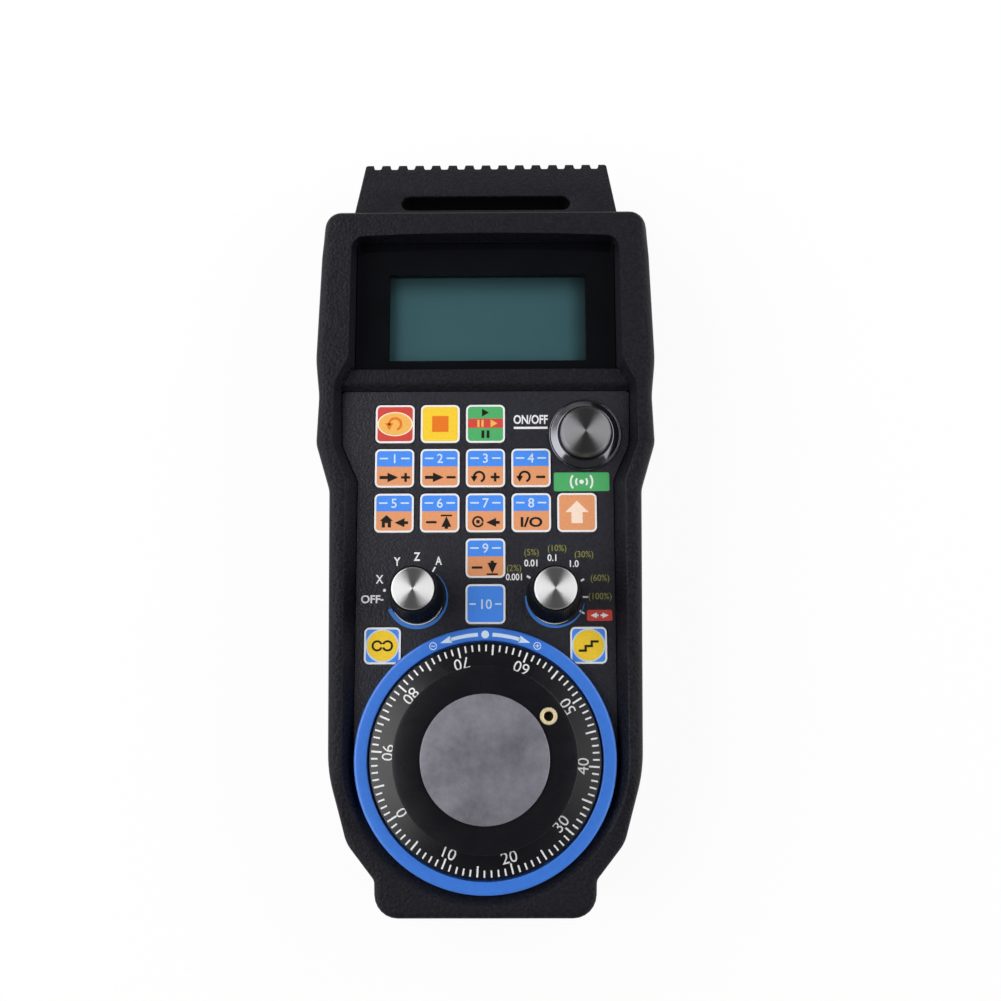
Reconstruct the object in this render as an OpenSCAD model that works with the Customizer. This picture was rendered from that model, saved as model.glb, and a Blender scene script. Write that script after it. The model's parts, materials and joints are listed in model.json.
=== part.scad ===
/* [Body] */
// Distance from the wheel's axis to the ribbed top end
top_reach = 167.5; // [166:0.5:169]
// Distance from the wheel's axis to the bottom end
bottom_reach = 39.5; // [39:0.5:41]
// Height of the joint between the two housing halves
split_z = 13; // [12.5:0.5:13.5]
// Height of the printed key panel above the back
panel_z = 26; // [26:0.5:27]
// Height of the rim around the display above the key panel
hood_rise = 5; // [4:0.5:6]
// Height of the rim along the grip above the key panel
rim_rise = 4.5; // [3.5:0.5:5]
// Height of the bottom end above the key panel
lobe_rise = 1; // [0.5:0.5:2]
// Thickness of the housing walls
wall = 2.4; // [2:0.2:2.8]

/* [Handwheel] */
// Diameter of the graduated dial
dial_d = 60; // [58:0.5:60]
// Outer diameter of the fixed ring around the dial
ring_d = 67.4; // [66:0.2:67.4]
// Height of the fixed ring above the key panel
ring_rise = 3.2; // [2.5:0.1:3.5]
// Height of the dial's raised hub above the key panel
hub_rise = 8; // [7:0.5:9]
// Diameter of the raised hub
hub_d = 47.2; // [46:0.2:48]
// Diameter of the metal disc on the hub
disc_d = 32.8; // [31:0.2:33]
// Diameter of the wheel's shaft
wheel_shaft_d = 6; // [5:0.5:6]
// Distance from the wheel's axis to the insert for a crank handle
insert_reach = 19.4; // [19.2:0.1:20]
// Bore of that threaded insert
insert_bore_d = 2.5; // [2:0.1:3]

/* [Selectors and power button] */
// Distance of each selector from the centre line
selector_x = 18; // [17:0.5:19]
// Distance of the selectors from the wheel's axis, along the body
selector_y = 42.3; // [42:0.1:43]
// Diameter of a selector knob's skirt
skirt_d = 14.5; // [14:0.1:15]
// Height of a selector knob's top above the key panel
knob_rise = 16.9; // [15:0.1:18]
// Diameter of the metal cap on a selector knob
knob_cap_d = 10.8; // [10:0.1:11.4]
// Diameter of the power button's bezel
bezel_d = 19.6; // [18:0.1:19.8]
// Diameter of the power button's cap
power_cap_d = 13.4; // [12:0.1:13.4]
// Height of the power button's cap above the key panel
power_rise = 5.3; // [4.5:0.1:6]

/* [Keys] */
// Spacing of the keys
key_pitch = 12.2; // [12.1:0.1:12.4]
// Side of a square key
key_size = 10.5; // [9.8:0.1:10.6]
// Side of the two keys beside the wheel
side_key_size = 9.6; // [9:0.1:9.6]

/* [Display and cells] */
// Width of the display window
window_w = 71.2; // [70:0.2:72]
// Width of the lit part of the display
lcd_w = 54; // [50:1:56]
// Height of the lit part of the display
lcd_h = 23.6; // [22:0.2:24]
// Diameter of a battery cell
cell_d = 14.5; // [13.5:0.1:14.5]
// Length of a battery cell
cell_l = 50.5; // [49:0.5:50.5]

/* [Hidden] */
$fn = 64;

// Everything is drawn about the wheel's axis, then moved so that the body is centred on the origin.
wheel_y = (bottom_reach - top_reach) / 2;

// Corners of the body's right-hand outline from the top to the bottom: x, y and corner radius.
body_corners = [[44.5, 148.9, 5], [45.9, 106, 30], [44.9, 96, 20], [45.4, 83, 7], [41.6, 70.3, 8],
    [40.4, -3, 40], [35.6, -21, 10], [28.3, -30.2, 2.5], [28, -bottom_reach, 6]];
crown_y = 148;
crown_base_w = 73.8;
crown_end_w = 68.8;
crown_outline = [[crown_base_w / 2, crown_y - 4], [crown_base_w / 2, crown_y + 1], [crown_end_w / 2, top_reach],
    [-crown_end_w / 2, top_reach], [-crown_base_w / 2, crown_y + 1], [-crown_base_w / 2, crown_y - 4]];
rib_count = 15;
rib_pitch = 4.76;
rib_depth = 1.7;
slot_l = 47.4;
slot_w = 4.6;
slot_y = 153.6;

shoulder_z = panel_z - 1;
deck_z = panel_z - 1.5;
deck_under_z = deck_z - 2.2;
floor_z = 2.2;

// Corners of the recess that holds the key panel.
panel_corners = [[38.9, 97.9, 1], [38.5, 83, 2], [34.2, 73.2, 2], [34.1, 4, 0.5]];
panel_gap = 0.25;
// The recess widens upward to the rim's crest: how far outward, and at what height.
panel_recess = [[-panel_gap, deck_z], [-panel_gap, panel_z - 0.3], [-1.1, panel_z + 1], [-3.4, panel_z + 5.5]];

window_y = 122.5;
window_h = 36.8;
window_z = panel_z - 1.3;
window_t = 1.5;
window_corners = [[window_w / 2, window_y + window_h / 2, 1], [window_w / 2, window_y - window_h / 2, 1]];
window_recess = [[-0.15, window_z - window_t], [-0.15, window_z], [-0.8, panel_z + 1.5], [-1.7, panel_z + 6]];
bar_z = panel_z + 1.5;
bar_top_y = 104.6;

lcd_y = 120.2;
lcd_z = window_z - 3.1;

screw_spots = [for (p = [[38, 141.5], [39, 101], [34.8, 42], [23.5, -31.5]]) each [p, [-p[0], p[1]]]];
screw_r = 1.28;
screw_head_r = 2.8;
screw_seat_z = 5;

// The battery tub stands on the rear housing behind the display.
tub = [66, 39.2];
tub_y = 125.2;
cell_pitch = cell_d + 0.7;
door = [62, 35.6, 1.8];
door_z = 0.2;
cell_z = door_z + door[2] + 0.3 + cell_d / 2;
tub_top_z = cell_z + cell_d / 2 + 1.4;

key_t = 0.55;
key_gap = 0.3;
circuit_t = 0.3;
overlay_z = deck_z + circuit_t;
key_z = panel_z - 0.4;
dome_h = 0.3;
side_key_spot = [27, 29.2];
key_rows_y = 88.9;
// Columns and rows of the keys in the grid, in the order of key_spots.
key_places = [[-2, 0], [-1, 0], [0, 0], [-2, 1], [-1, 1], [0, 1], [1, 1], [-2, 2], [-1, 2], [0, 2], [1, 2],
    [0, 3], [0, 4], [2, 2]];
key_spots = [for (p = key_places) [p[0] * key_pitch, key_rows_y - p[1] * key_pitch]];

board_z = 10.5;
board_t = 1.6;
board_screw_spots = [[-27.5, 95], [-27.5, 26], [27.5, 26], [8, 95]];
power_spot = [26.8, 85.7];
barrel_r = 8;
bore_floor_z = panel_z - 4;
nut_af = 10;
bush_r = 3.5;
shaft_r = 3;

ring_r = ring_d / 2;
dial_r = dial_d / 2;
ring_floor_z = panel_z + 0.2;
dial_under_z = panel_z + 0.6;
hub_top_z = panel_z + hub_rise;
disc_seat_z = hub_top_z - 0.8;
flange_r = 31;
cup_r = 20;
encoder_screw_r = 28.2;
code_z = 8.6;
insert_angle = 33.5;

black = [0.09, 0.09, 0.1];
white = [0.92, 0.92, 0.92];
blue = [0.16, 0.42, 0.82];
orange = [0.95, 0.55, 0.26];
yellow = [0.96, 0.82, 0.25];
red = [0.85, 0.3, 0.27];
green = [0.25, 0.68, 0.38];
steel = [0.72, 0.72, 0.74];
brass = [0.72, 0.56, 0.28];

function unit(v) = v / norm(v);
function turned(v, a) = [v[0] * cos(a) - v[1] * sin(a), v[0] * sin(a) + v[1] * cos(a)];
function flat(p) = [p[0], p[1]];
function mirrored(p) = [-p[0], p[1], p[2]];

// Arc that rounds corner q of a clockwise outline, moved inward by d.
function corner_arc(p, q, s, d, steps = 4) =
    let (u = unit(flat(q) - flat(p)), v = unit(flat(s) - flat(q)))
    let (n = [u[1], -u[0]], m = [v[1], -v[0]])
    let (turn = atan2(u[0] * v[1] - u[1] * v[0], u * v))
    let (side = turn < 0 ? 1 : -1, r = max(q[2] - side * d, 0.3))
    let (centre = flat(q) + (n + m) / (1 + n * m) * (d + side * r))
    [for (k = [0:steps]) centre - side * r * turned(n, turn * k / steps)];

// Right-hand half of an outline that is the same on both sides, from top to bottom.
function half_outline(corners, d) =
    let (last = len(corners) - 1)
    [for (i = [0:last]) each corner_arc(
        i == 0 ? mirrored(corners[0]) : corners[i - 1],
        corners[i],
        i == last ? mirrored(corners[last]) : corners[i + 1],
        d)];

function outline(corners, d = 0) =
    let (half = half_outline(corners, d))
    concat(half, [for (i = [len(half) - 1:-1:0]) [-half[i][0], half[i][1]]]);

function two_triangles(a, b, c, d) = [[a, b, c], [a, c, d]];

// Rim's crest above the shoulder, by distance from the wheel's axis along the body.
function crest(y) = panel_z - shoulder_z
    + lookup(y, [[-20, lobe_rise], [-3, rim_rise], [97, rim_rise], [104, hood_rise]]);

// Closed shell through outlines: each level is how far inward, its height and its share of the crest.
module loft(corners, levels) {
    halves = [for (v = levels) half_outline(corners, v[0])];
    m = len(halves[0]);
    n = len(levels) - 1;
    points = [for (k = [0:n]) for (side = [1, -1]) for (p = halves[k])
        [side * p[0], p[1], levels[k][1] + (len(levels[k]) > 2 ? levels[k][2] * crest(p[1]) : 0)]];
    function at(k, left, i) = (2 * k + left) * m + i;
    walls = [for (k = [0:n - 1]) for (i = [0:m - 2]) each concat(
        two_triangles(at(k, 0, i), at(k, 0, i + 1), at(k + 1, 0, i + 1), at(k + 1, 0, i)),
        two_triangles(at(k, 1, i + 1), at(k, 1, i), at(k + 1, 1, i), at(k + 1, 1, i + 1)))];
    ends = [for (k = [0:n - 1]) each concat(
        two_triangles(at(k, 1, 0), at(k, 0, 0), at(k + 1, 0, 0), at(k + 1, 1, 0)),
        two_triangles(at(k, 0, m - 1), at(k, 1, m - 1), at(k + 1, 1, m - 1), at(k + 1, 0, m - 1)))];
    caps = [for (i = [0:m - 2]) each concat(
        two_triangles(at(0, 0, i), at(0, 1, i), at(0, 1, i + 1), at(0, 0, i + 1)),
        two_triangles(at(n, 0, i + 1), at(n, 1, i + 1), at(n, 1, i), at(n, 0, i)))];
    polyhedron(points, concat(walls, ends, caps));
}

module placed() {
    translate([0, wheel_y, 0]) children();
}

// Plate from a lower corner to an upper corner, each x, y, z.
module plate(low, high) {
    translate(low) cube(high - low);
}

module tube(outer, inner, low, high) {
    difference() {
        translate([0, 0, low]) cylinder(r = outer, h = high - low);
        translate([0, 0, low - 1]) cylinder(r = inner, h = high - low + 2);
    }
}

module rounded_square(side, r) {
    polygon(outline([[side / 2, side / 2, r], [side / 2, -side / 2, r]]));
}

// Strip of ribbon cable: its profile runs along y and z, and its width along x.
module strip(width, profile) {
    rotate([90, 0, 90]) linear_extrude(width, center = true) polygon(profile);
}

module coil(r, wire, low, high, turns) {
    sides = 6;
    per_turn = 12;
    rings = turns * per_turn;
    rise = high - low - 2 * wire;
    points = [for (k = [0:rings], j = [0:sides - 1])
        let (a = k * 360 / per_turn, b = j * 360 / sides)
        [(r + wire * cos(b)) * cos(a), (r + wire * cos(b)) * sin(a), low + wire + rise * k / rings + wire * sin(b)]];
    skin = [for (k = [0:rings - 1], j = [0:sides - 1])
        let (a = k * sides + j, b = k * sides + (j + 1) % sides)
        each two_triangles(a, b, b + sides, a + sides)];
    start = [[for (j = [sides - 1:-1:0]) j]];
    finish = [[for (j = [0:sides - 1]) rings * sides + j]];
    polyhedron(points, concat(skin, start, finish));
}

module crown(low, high_base, high_end) {
    intersection() {
        translate([0, 0, low]) linear_extrude(high_base) polygon(crown_outline);
        strip(100, [[crown_y - 5, low], [top_reach, low], [top_reach, high_end], [crown_y + 1, high_base],
            [crown_y - 5, high_base]]);
    }
}

module crown_cuts() {
    for (i = [1:rib_count - 1]) translate([(i - rib_count / 2) * rib_pitch, top_reach, -1]) linear_extrude(40)
        polygon([[-1.4, 1], [-1.35, 0], [-0.85, -rib_depth + 0.4], [-0.45, -rib_depth], [0.45, -rib_depth],
            [0.85, -rib_depth + 0.4], [1.35, 0], [1.4, 1]]);
    for (side = [-1, 1]) translate([side * (slot_l - slot_w) / 2, slot_y, -1]) cylinder(d = slot_w, h = 40);
    plate([-(slot_l - slot_w) / 2, slot_y - slot_w / 2, -1], [(slot_l - slot_w) / 2, slot_y + slot_w / 2, 39]);
}

module rear_housing() {
    placed() color(black) difference() {
        union() {
            difference() {
                union() {
                    loft(body_corners, [[3.4, 0], [1.7, 0.7], [0.5, 2], [0, 4], [0, split_z]]);
                    crown(1.5, split_z, split_z);
                }
                translate([0, 0, floor_z]) linear_extrude(20) polygon(outline(body_corners, wall));
            }
            for (p = screw_spots) translate([p[0], p[1], 1]) cylinder(r = 3.6, h = split_z - 1);
            plate([-tub[0] / 2, tub_y - tub[1] / 2, 0.5], [tub[0] / 2, tub_y + tub[1] / 2, 3.6]);
            plate([-29.4, tub_y - 16.7, 0.5], [29.4, tub_y + 16.7, tub_top_z]);
            for (p = board_screw_spots) translate([p[0], p[1], 1]) cylinder(r = 2.8, h = board_z - 1);
        }
        crown_cuts();
        for (p = screw_spots) translate(p) {
            translate([0, 0, -1]) cylinder(r = screw_head_r + 0.3, h = screw_seat_z + 1);
            cylinder(r = 1.7, h = 20);
        }
        for (p = board_screw_spots) translate([p[0], p[1], 3]) cylinder(r = screw_r + 0.02, h = 20);
        plate([-door[0] / 2 - 0.3, tub_y - door[1] / 2 - 0.3, -1],
            [door[0] / 2 + 0.3, tub_y + door[1] / 2 + 0.3, door_z + door[2] + 0.2]);
        plate([-28, tub_y - 15.3, -1], [28, tub_y + 15.3, tub_top_z - 1.2]);
    }
}

module battery_door() {
    placed() color(black) union() {
        plate([-door[0] / 2, tub_y - door[1] / 2, door_z], [door[0] / 2, tub_y + door[1] / 2, door_z + door[2]]);
        for (side = [-1, 1]) plate([side * 26.2 - 1.2, tub_y - 14.6, door_z + 1],
            [side * 26.2 + 1.2, tub_y - 13.2, door_z + door[2] + 2.4]);
    }
}

module battery_cells() {
    placed() for (side = [-1, 1]) translate([0, tub_y + side * cell_pitch / 2, cell_z])
        rotate([0, side * 90, 0]) {
            color(green) translate([0, 0, -cell_l / 2]) cylinder(d = cell_d, h = cell_l - 1.2);
            color(steel) translate([0, 0, cell_l / 2 - 1.3]) cylinder(d = 5.4, h = 1.3);
        }
}

module battery_contacts() {
    placed() color(steel) for (side = [-1, 1]) translate([0, tub_y + side * cell_pitch / 2, cell_z])
        rotate([0, side * 90, 0]) {
            plate([-4, -4.5, cell_l / 2 + 2.1], [4, 4.5, cell_l / 2 + 2.6]);
            translate([0, 0, cell_l / 2 + 0.05]) cylinder(r = 2.2, h = 2.2);
            plate([-4, -4.5, -cell_l / 2 - 2.6], [4, 4.5, -cell_l / 2 - 2.1]);
            translate([0, 0, -cell_l / 2 - 2.2]) cylinder(r1 = 3.4, r2 = 2.2, h = 2.1);
        }
}

module front_housing() {
    placed() color(black) difference() {
        union() {
            difference() {
                union() {
                    loft(body_corners, [[0, split_z], [0, shoulder_z], [0.35, shoulder_z, 0.4],
                        [1.2, shoulder_z, 0.72], [2.4, shoulder_z, 0.93], [3.6, shoulder_z, 1]]);
                    crown(split_z, panel_z - 1.6, panel_z - 7);
                }
                translate([0, 0, split_z - 1]) linear_extrude(deck_under_z - split_z + 1)
                    polygon(outline(body_corners, wall));
            }
            for (p = screw_spots) translate([p[0], p[1], split_z]) cylinder(r = 3.2, h = deck_under_z - split_z + 1);
        }
        crown_cuts();
        translate([0, 0, split_z - 1]) linear_extrude(1.8) difference() {
            polygon(outline(body_corners, 0.75));
            polygon(outline(body_corners, 1.75));
        }
        for (p = screw_spots) translate([p[0], p[1], split_z - 1]) cylinder(r = screw_r + 0.02, h = 9);
        loft(panel_corners, panel_recess);
        loft(window_corners, window_recess);
        translate([0, 0, bar_z]) linear_extrude(10)
            polygon([[-38, bar_top_y + 1], [38, bar_top_y + 1], [41, 97.5], [-41, 97.5]]);
        translate([0, 0, deck_z]) cylinder(r = ring_r + 0.3, h = 10);
        translate([0, 0, panel_z]) cylinder(r1 = ring_r + 0.3, r2 = ring_r + 8.3, h = 8);
        plate([-31, 106.4, 10], [31, 136.6, 30]);
        cylinder(r = 10, h = 40);
        for (a = [90, 210, 330]) rotate(a) translate([encoder_screw_r, 0, 10]) cylinder(r = 1.6, h = 20);
        for (side = [-1, 1]) translate([side * selector_x, selector_y, 10]) cylinder(r = bush_r + 0.1, h = 20);
        translate([power_spot[0], power_spot[1], 10]) cylinder(r = barrel_r + 0.1, h = 20);
        plate([-33, 55, 10], [-31.6, 69, 30]);
    }
}

module housing_seal() {
    placed() color([0.3, 0.3, 0.32]) translate([0, 0, split_z]) linear_extrude(0.75) difference() {
        polygon(outline(body_corners, 0.8));
        polygon(outline(body_corners, 1.7));
    }
}

module housing_screws() {
    placed() color(steel) for (p = screw_spots) translate(p) difference() {
        union() {
            translate([0, 0, screw_seat_z - 2]) cylinder(r = screw_head_r, h = 2);
            translate([0, 0, screw_seat_z - 0.1]) cylinder(r = screw_r, h = 15);
        }
        translate([0, 0, screw_seat_z - 3]) cylinder(r = 1.2, h = 2, $fn = 6);
    }
}

// One key's outline, cut back where the wheel's ring passes over it.
module key_shape(spot, side, grow, ring_gap) {
    difference() {
        translate(spot) rounded_square(side + 2 * grow, 1.4 + grow);
        circle(ring_r + ring_gap);
    }
}

module all_key_shapes(grow, ring_gap) {
    for (p = key_spots) key_shape(p, key_size, grow, ring_gap);
    for (side = [-1, 1]) key_shape([side * side_key_spot[0], side_key_spot[1]], side_key_size, grow, ring_gap);
}

module panel_shape(keys_open) {
    difference() {
        polygon(outline(panel_corners));
        circle(ring_r + 0.15);
        for (side = [-1, 1]) translate([side * selector_x, selector_y]) circle(6.3);
        translate(power_spot) circle(barrel_r + 0.3);
        if (keys_open) all_key_shapes(key_gap, 0.1);
    }
}

module key_overlay() {
    placed() color(black) translate([0, 0, overlay_z]) linear_extrude(panel_z - overlay_z) panel_shape(true);
}

module key_circuit() {
    placed() color([0.75, 0.72, 0.5]) union() {
        translate([0, 0, deck_z]) linear_extrude(circuit_t) panel_shape(false);
        plate([-32.4, 56, board_z + board_t + 0.1], [-32.1, 68, deck_z + 0.1]);
        plate([-32.4, 56, board_z + board_t + 0.1], [-27, 68, board_z + board_t + 0.4]);
    }
}

module key_domes() {
    placed() color(steel) {
        for (p = key_spots) translate([p[0], p[1], overlay_z]) cylinder(r1 = 3.2, r2 = 1.6, h = dome_h);
        for (side = [-1, 1]) translate([side * side_key_spot[0], side_key_spot[1], overlay_z])
            cylinder(r1 = 3.2, r2 = 1.6, h = dome_h);
    }
}

module key(spot, side, tint) {
    placed() color(tint) translate([0, 0, key_z]) linear_extrude(key_t) key_shape(spot, side, 0, 0.4);
}

module key_reset() key(key_spots[0], key_size, red);
module key_stop() key(key_spots[1], key_size, yellow);
module key_start() key(key_spots[2], key_size, green);
module key_1() key(key_spots[3], key_size, orange);
module key_2() key(key_spots[4], key_size, orange);
module key_3() key(key_spots[5], key_size, orange);
module key_4() key(key_spots[6], key_size, orange);
module key_5() key(key_spots[7], key_size, orange);
module key_6() key(key_spots[8], key_size, orange);
module key_7() key(key_spots[9], key_size, orange);
module key_8() key(key_spots[10], key_size, orange);
module key_9() key(key_spots[11], key_size, orange);
module key_10() key(key_spots[12], key_size, blue);
module key_function() key(key_spots[13], key_size, orange);
module key_continuous() key([-side_key_spot[0], side_key_spot[1]], side_key_size, yellow);
module key_step() key(side_key_spot, side_key_size, yellow);

module display_window() {
    placed() color([0.05, 0.05, 0.06]) translate([0, 0, window_z - window_t]) linear_extrude(window_t)
        polygon(outline(window_corners));
}

module lcd_frame() {
    placed() color(steel) difference() {
        plate([-30.8, lcd_y - 13.6, lcd_z - 2], [30.8, lcd_y + 16.2, lcd_z + 0.4]);
        plate([-lcd_w / 2, lcd_y - lcd_h / 2, 0], [lcd_w / 2, lcd_y + lcd_h / 2, 40]);
        plate([-30, lcd_y - 13, 0], [30, lcd_y + 15.6, lcd_z]);
    }
}

module lcd_glass() {
    placed() color([0.2, 0.38, 0.38])
        plate([-29.9, lcd_y - 12.9, lcd_z - 1.7], [29.9, lcd_y + 15.5, lcd_z - 0.02]);
}

module lcd_board() {
    placed() color([0.1, 0.4, 0.2]) plate([-33.5, 104, tub_top_z + 0.15], [33.5, 142, lcd_z - 2.05]);
}

module display_ribbon() {
    ribbon_top_z = tub_top_z + 0.15;
    placed() color(white) strip(18, [[98, board_z + board_t], [102.7, board_z + board_t],
        [102.7, ribbon_top_z - 0.3], [107.5, ribbon_top_z - 0.3], [107.5, ribbon_top_z], [102.4, ribbon_top_z],
        [102.4, board_z + board_t + 0.3], [98, board_z + board_t + 0.3]]);
}

module main_board() {
    placed() color([0.1, 0.4, 0.2]) difference() {
        plate([-30.8, 22, board_z], [30.8, 100, board_z + board_t]);
        translate([power_spot[0], power_spot[1], 0]) cylinder(r = barrel_r + 1, h = 40);
        for (p = board_screw_spots) translate(p) cylinder(r = 1.6, h = 40);
    }
}

module board_screws() {
    placed() color(steel) for (p = board_screw_spots) translate([p[0], p[1], 0]) union() {
        translate([0, 0, 4]) cylinder(r = screw_r, h = board_z + board_t - 3.9);
        translate([0, 0, board_z + board_t]) cylinder(r = 2.5, h = 1.5);
    }
}

module radio_module() {
    placed() {
        color([0.1, 0.2, 0.5]) plate([-12, 62, board_z - 1.1], [12, 80, board_z - 0.1]);
        color(steel) plate([-9, 64, board_z - 3.2], [9, 76, board_z - 1.1]);
        color(brass) translate([-22, 68, board_z - 3]) rotate([-90, 0, 0]) cylinder(r = 2, h = 24);
    }
}

module rotary_switch(side) {
    placed() color([0.2, 0.2, 0.22]) translate([side * selector_x, selector_y, 0]) difference() {
        union() {
            translate([0, 0, board_z + board_t]) cylinder(r = 8.5, h = deck_under_z - board_z - board_t - 0.1);
            translate([0, 0, deck_under_z - 1]) cylinder(r = bush_r, h = panel_z + 2.2 - deck_under_z + 1);
        }
        translate([0, 0, deck_under_z - 6]) cylinder(r = shaft_r + 0.06, h = 20);
    }
}

module axis_switch() rotary_switch(-1);
module step_switch() rotary_switch(1);

module selector_nuts() {
    placed() color(steel) for (side = [-1, 1]) translate([side * selector_x, selector_y, deck_z]) difference() {
        cylinder(d = nut_af / cos(30), h = 2, $fn = 6);
        translate([0, 0, -1]) cylinder(r = bush_r + 0.02, h = 4);
    }
}

module selector_shaft(side) {
    placed() color(steel) translate([side * selector_x, selector_y, deck_under_z - 5.5])
        cylinder(r = shaft_r, h = panel_z + knob_rise - 4 - deck_under_z + 5.5);
}

module axis_shaft() selector_shaft(-1);
module step_shaft() selector_shaft(1);

module selector_knob(side) {
    flutes = 40;
    base_z = panel_z + 0.8;
    top_z = panel_z + knob_rise - 0.5;
    skirt_r = skirt_d / 2;
    placed() color(black) translate([side * selector_x, selector_y, 0]) difference() {
        union() {
            translate([0, 0, base_z]) rotate_extrude() polygon([[0, 0], [skirt_r, 0], [skirt_r, 1.2],
                [skirt_r - 0.5, 2.2], [0, 2.2]]);
            translate([0, 0, base_z + 1]) linear_extrude(top_z - base_z - 1) polygon([for (i = [0:2 * flutes - 1])
                let (r = skirt_r - 0.8 - 0.3 * (i % 2), a = i * 180 / flutes) [r * cos(a), r * sin(a)]]);
        }
        translate([0, 0, base_z - 1]) cylinder(r = 6, h = 3.4);
        translate([0, 0, base_z]) cylinder(r = shaft_r + 0.03, h = top_z - base_z - 3.2);
        translate([0, 0, top_z - 0.8]) cylinder(d = knob_cap_d + 0.06, h = 2);
    }
}

module axis_knob() selector_knob(-1);
module step_knob() selector_knob(1);

module selector_cap(side) {
    cap_r = knob_cap_d / 2;
    placed() color(steel) translate([side * selector_x, selector_y, panel_z + knob_rise - 1.3])
        rotate_extrude() polygon([[0, 0], [cap_r, 0], [cap_r, 1], [cap_r - 0.3, 1.3], [0, 1.3]]);
}

module axis_cap() selector_cap(-1);
module step_cap() selector_cap(1);

module at_power() {
    placed() translate([power_spot[0], power_spot[1], 0]) children();
}

module power_bezel() {
    bezel_r = bezel_d / 2;
    bore_r = power_cap_d / 2 + 0.06;
    at_power() color(steel) difference() {
        union() {
            translate([0, 0, panel_z]) rotate_extrude() polygon([[0, 0], [bezel_r, 0], [bezel_r, 0.6],
                [bezel_r - 1.6, 2.1], [0, 2.1]]);
            translate([0, 0, 6.5]) cylinder(r = barrel_r, h = panel_z - 6);
        }
        translate([0, 0, bore_floor_z]) cylinder(r = bore_r, h = 20);
        translate([0, 0, 5]) cylinder(r = barrel_r - 1.5, h = bore_floor_z - 6.5);
        cylinder(r = 2.56, h = 40);
    }
}

module power_nut() {
    at_power() color(steel) difference() {
        translate([0, 0, deck_under_z - 3]) cylinder(d = 19 / cos(30), h = 2.95, $fn = 6);
        cylinder(r = barrel_r + 0.03, h = 40);
    }
}

module power_spring() {
    at_power() color(steel) coil(4.4, 0.3, bore_floor_z + 0.02, bore_floor_z + 3, 3);
}

module power_contacts() {
    at_power() color(white) union() {
        translate([0, 0, 6.6]) cylinder(r = 6.4, h = 6);
        translate([0, 0, 4.6]) cylinder(r = 7.4, h = 1.85);
        translate([0, 0, 6]) cylinder(r = 6.4, h = 1);
        for (side = [-1, 1]) plate([side * 4 - 0.8, -0.3, 2.6], [side * 4 + 0.8, 0.3, 5]);
    }
}

module power_cap() {
    cap_r = power_cap_d / 2;
    cap_low = bore_floor_z + 3.05;
    rise = panel_z + power_rise - cap_low;
    at_power() color(steel) union() {
        translate([0, 0, cap_low]) rotate_extrude() polygon([[0, 0], [cap_r, 0], [cap_r, rise - 0.6],
            [cap_r - 0.6, rise], [0, rise]]);
        translate([0, 0, 15.5]) cylinder(r = 2.5, h = cap_low - 15);
    }
}

module wheel_ring() {
    top_z = panel_z + ring_rise;
    lip_r = dial_r + 0.3;
    placed() color(blue) difference() {
        rotate_extrude() polygon([[10.2, deck_z], [ring_r, deck_z], [ring_r, top_z - 1.2], [ring_r - 0.4, top_z - 0.4],
            [ring_r - 1.2, top_z], [lip_r + 0.4, top_z], [lip_r, top_z - 0.4], [lip_r, ring_floor_z],
            [10.2, ring_floor_z]]);
        for (a = [90, 210, 330]) rotate(a) translate([encoder_screw_r, 0, 0]) {
            cylinder(r = 1.4, h = 40);
            translate([0, 0, deck_z + 0.5]) cylinder(r = 2, h = 10);
        }
    }
}

module encoder_body() {
    placed() color([0.15, 0.15, 0.17]) difference() {
        union() {
            translate([0, 0, deck_under_z - 2]) cylinder(r = flange_r, h = 1.95);
            translate([0, 0, 6.6]) cylinder(r = cup_r, h = deck_under_z - 7.6);
        }
        difference() {
            translate([0, 0, 5]) cylinder(r = cup_r - 1.4, h = deck_under_z - 7);
            translate([0, 0, 10.6]) cylinder(r = 8.5, h = 20);
        }
        translate([0, 0, 5]) cylinder(r = 6.52, h = 30);
        for (a = [90, 210, 330]) rotate(a) translate([encoder_screw_r, 0, 0]) cylinder(r = 1.27, h = 40);
    }
}

module encoder_screws() {
    placed() color(steel) for (a = [90, 210, 330]) rotate(a) translate([encoder_screw_r, 0, 0]) union() {
        translate([0, 0, deck_under_z - 2]) cylinder(r = 1.25, h = 3);
        translate([0, 0, deck_under_z]) cylinder(r = 1.25, h = deck_z + 0.6 - deck_under_z);
        translate([0, 0, deck_z + 0.52]) cylinder(r = 1.9, h = 1);
    }
}

module wheel_bearings() {
    placed() color(steel) for (low = [10.8, deck_under_z - 5.2])
        tube(6.5, wheel_shaft_d / 2 + 0.05, low, low + 5);
}

module encoder_board() {
    placed() color([0.1, 0.4, 0.2]) union() {
        translate([0, 0, 5]) cylinder(r = cup_r - 0.2, h = 1.5);
        difference() {
            plate([-18, -3, 6.4], [-13, 3, 10.2]);
            plate([-16.9, -4, code_z - 0.5], [-12, 4, code_z + 1.1]);
        }
    }
}

module encoder_cable() {
    placed() color(white) strip(9, [[14, 4.65], [24.3, 4.65], [24.3, board_z - 0.35], [30, board_z - 0.35],
        [30, board_z - 0.05], [24, board_z - 0.05], [24, 4.95], [14, 4.95]]);
}

module wheel_shaft() {
    placed() color(steel) difference() {
        translate([0, 0, 7.4]) cylinder(d = wheel_shaft_d, h = disc_seat_z - 3 - 7.4);
        translate([0, 0, disc_seat_z - 12]) cylinder(r = 1.32, h = 12);
    }
}

module code_wheel() {
    placed() color(steel) difference() {
        union() {
            translate([0, 0, code_z]) cylinder(r = 16.5, h = 0.6);
            translate([0, 0, code_z - 0.6]) cylinder(r = 5, h = 2);
        }
        cylinder(d = wheel_shaft_d + 0.04, h = 40);
        for (i = [0:99]) rotate(i * 3.6) plate([13.6, -0.22, 0], [15.4, 0.22, 20]);
    }
}

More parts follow.
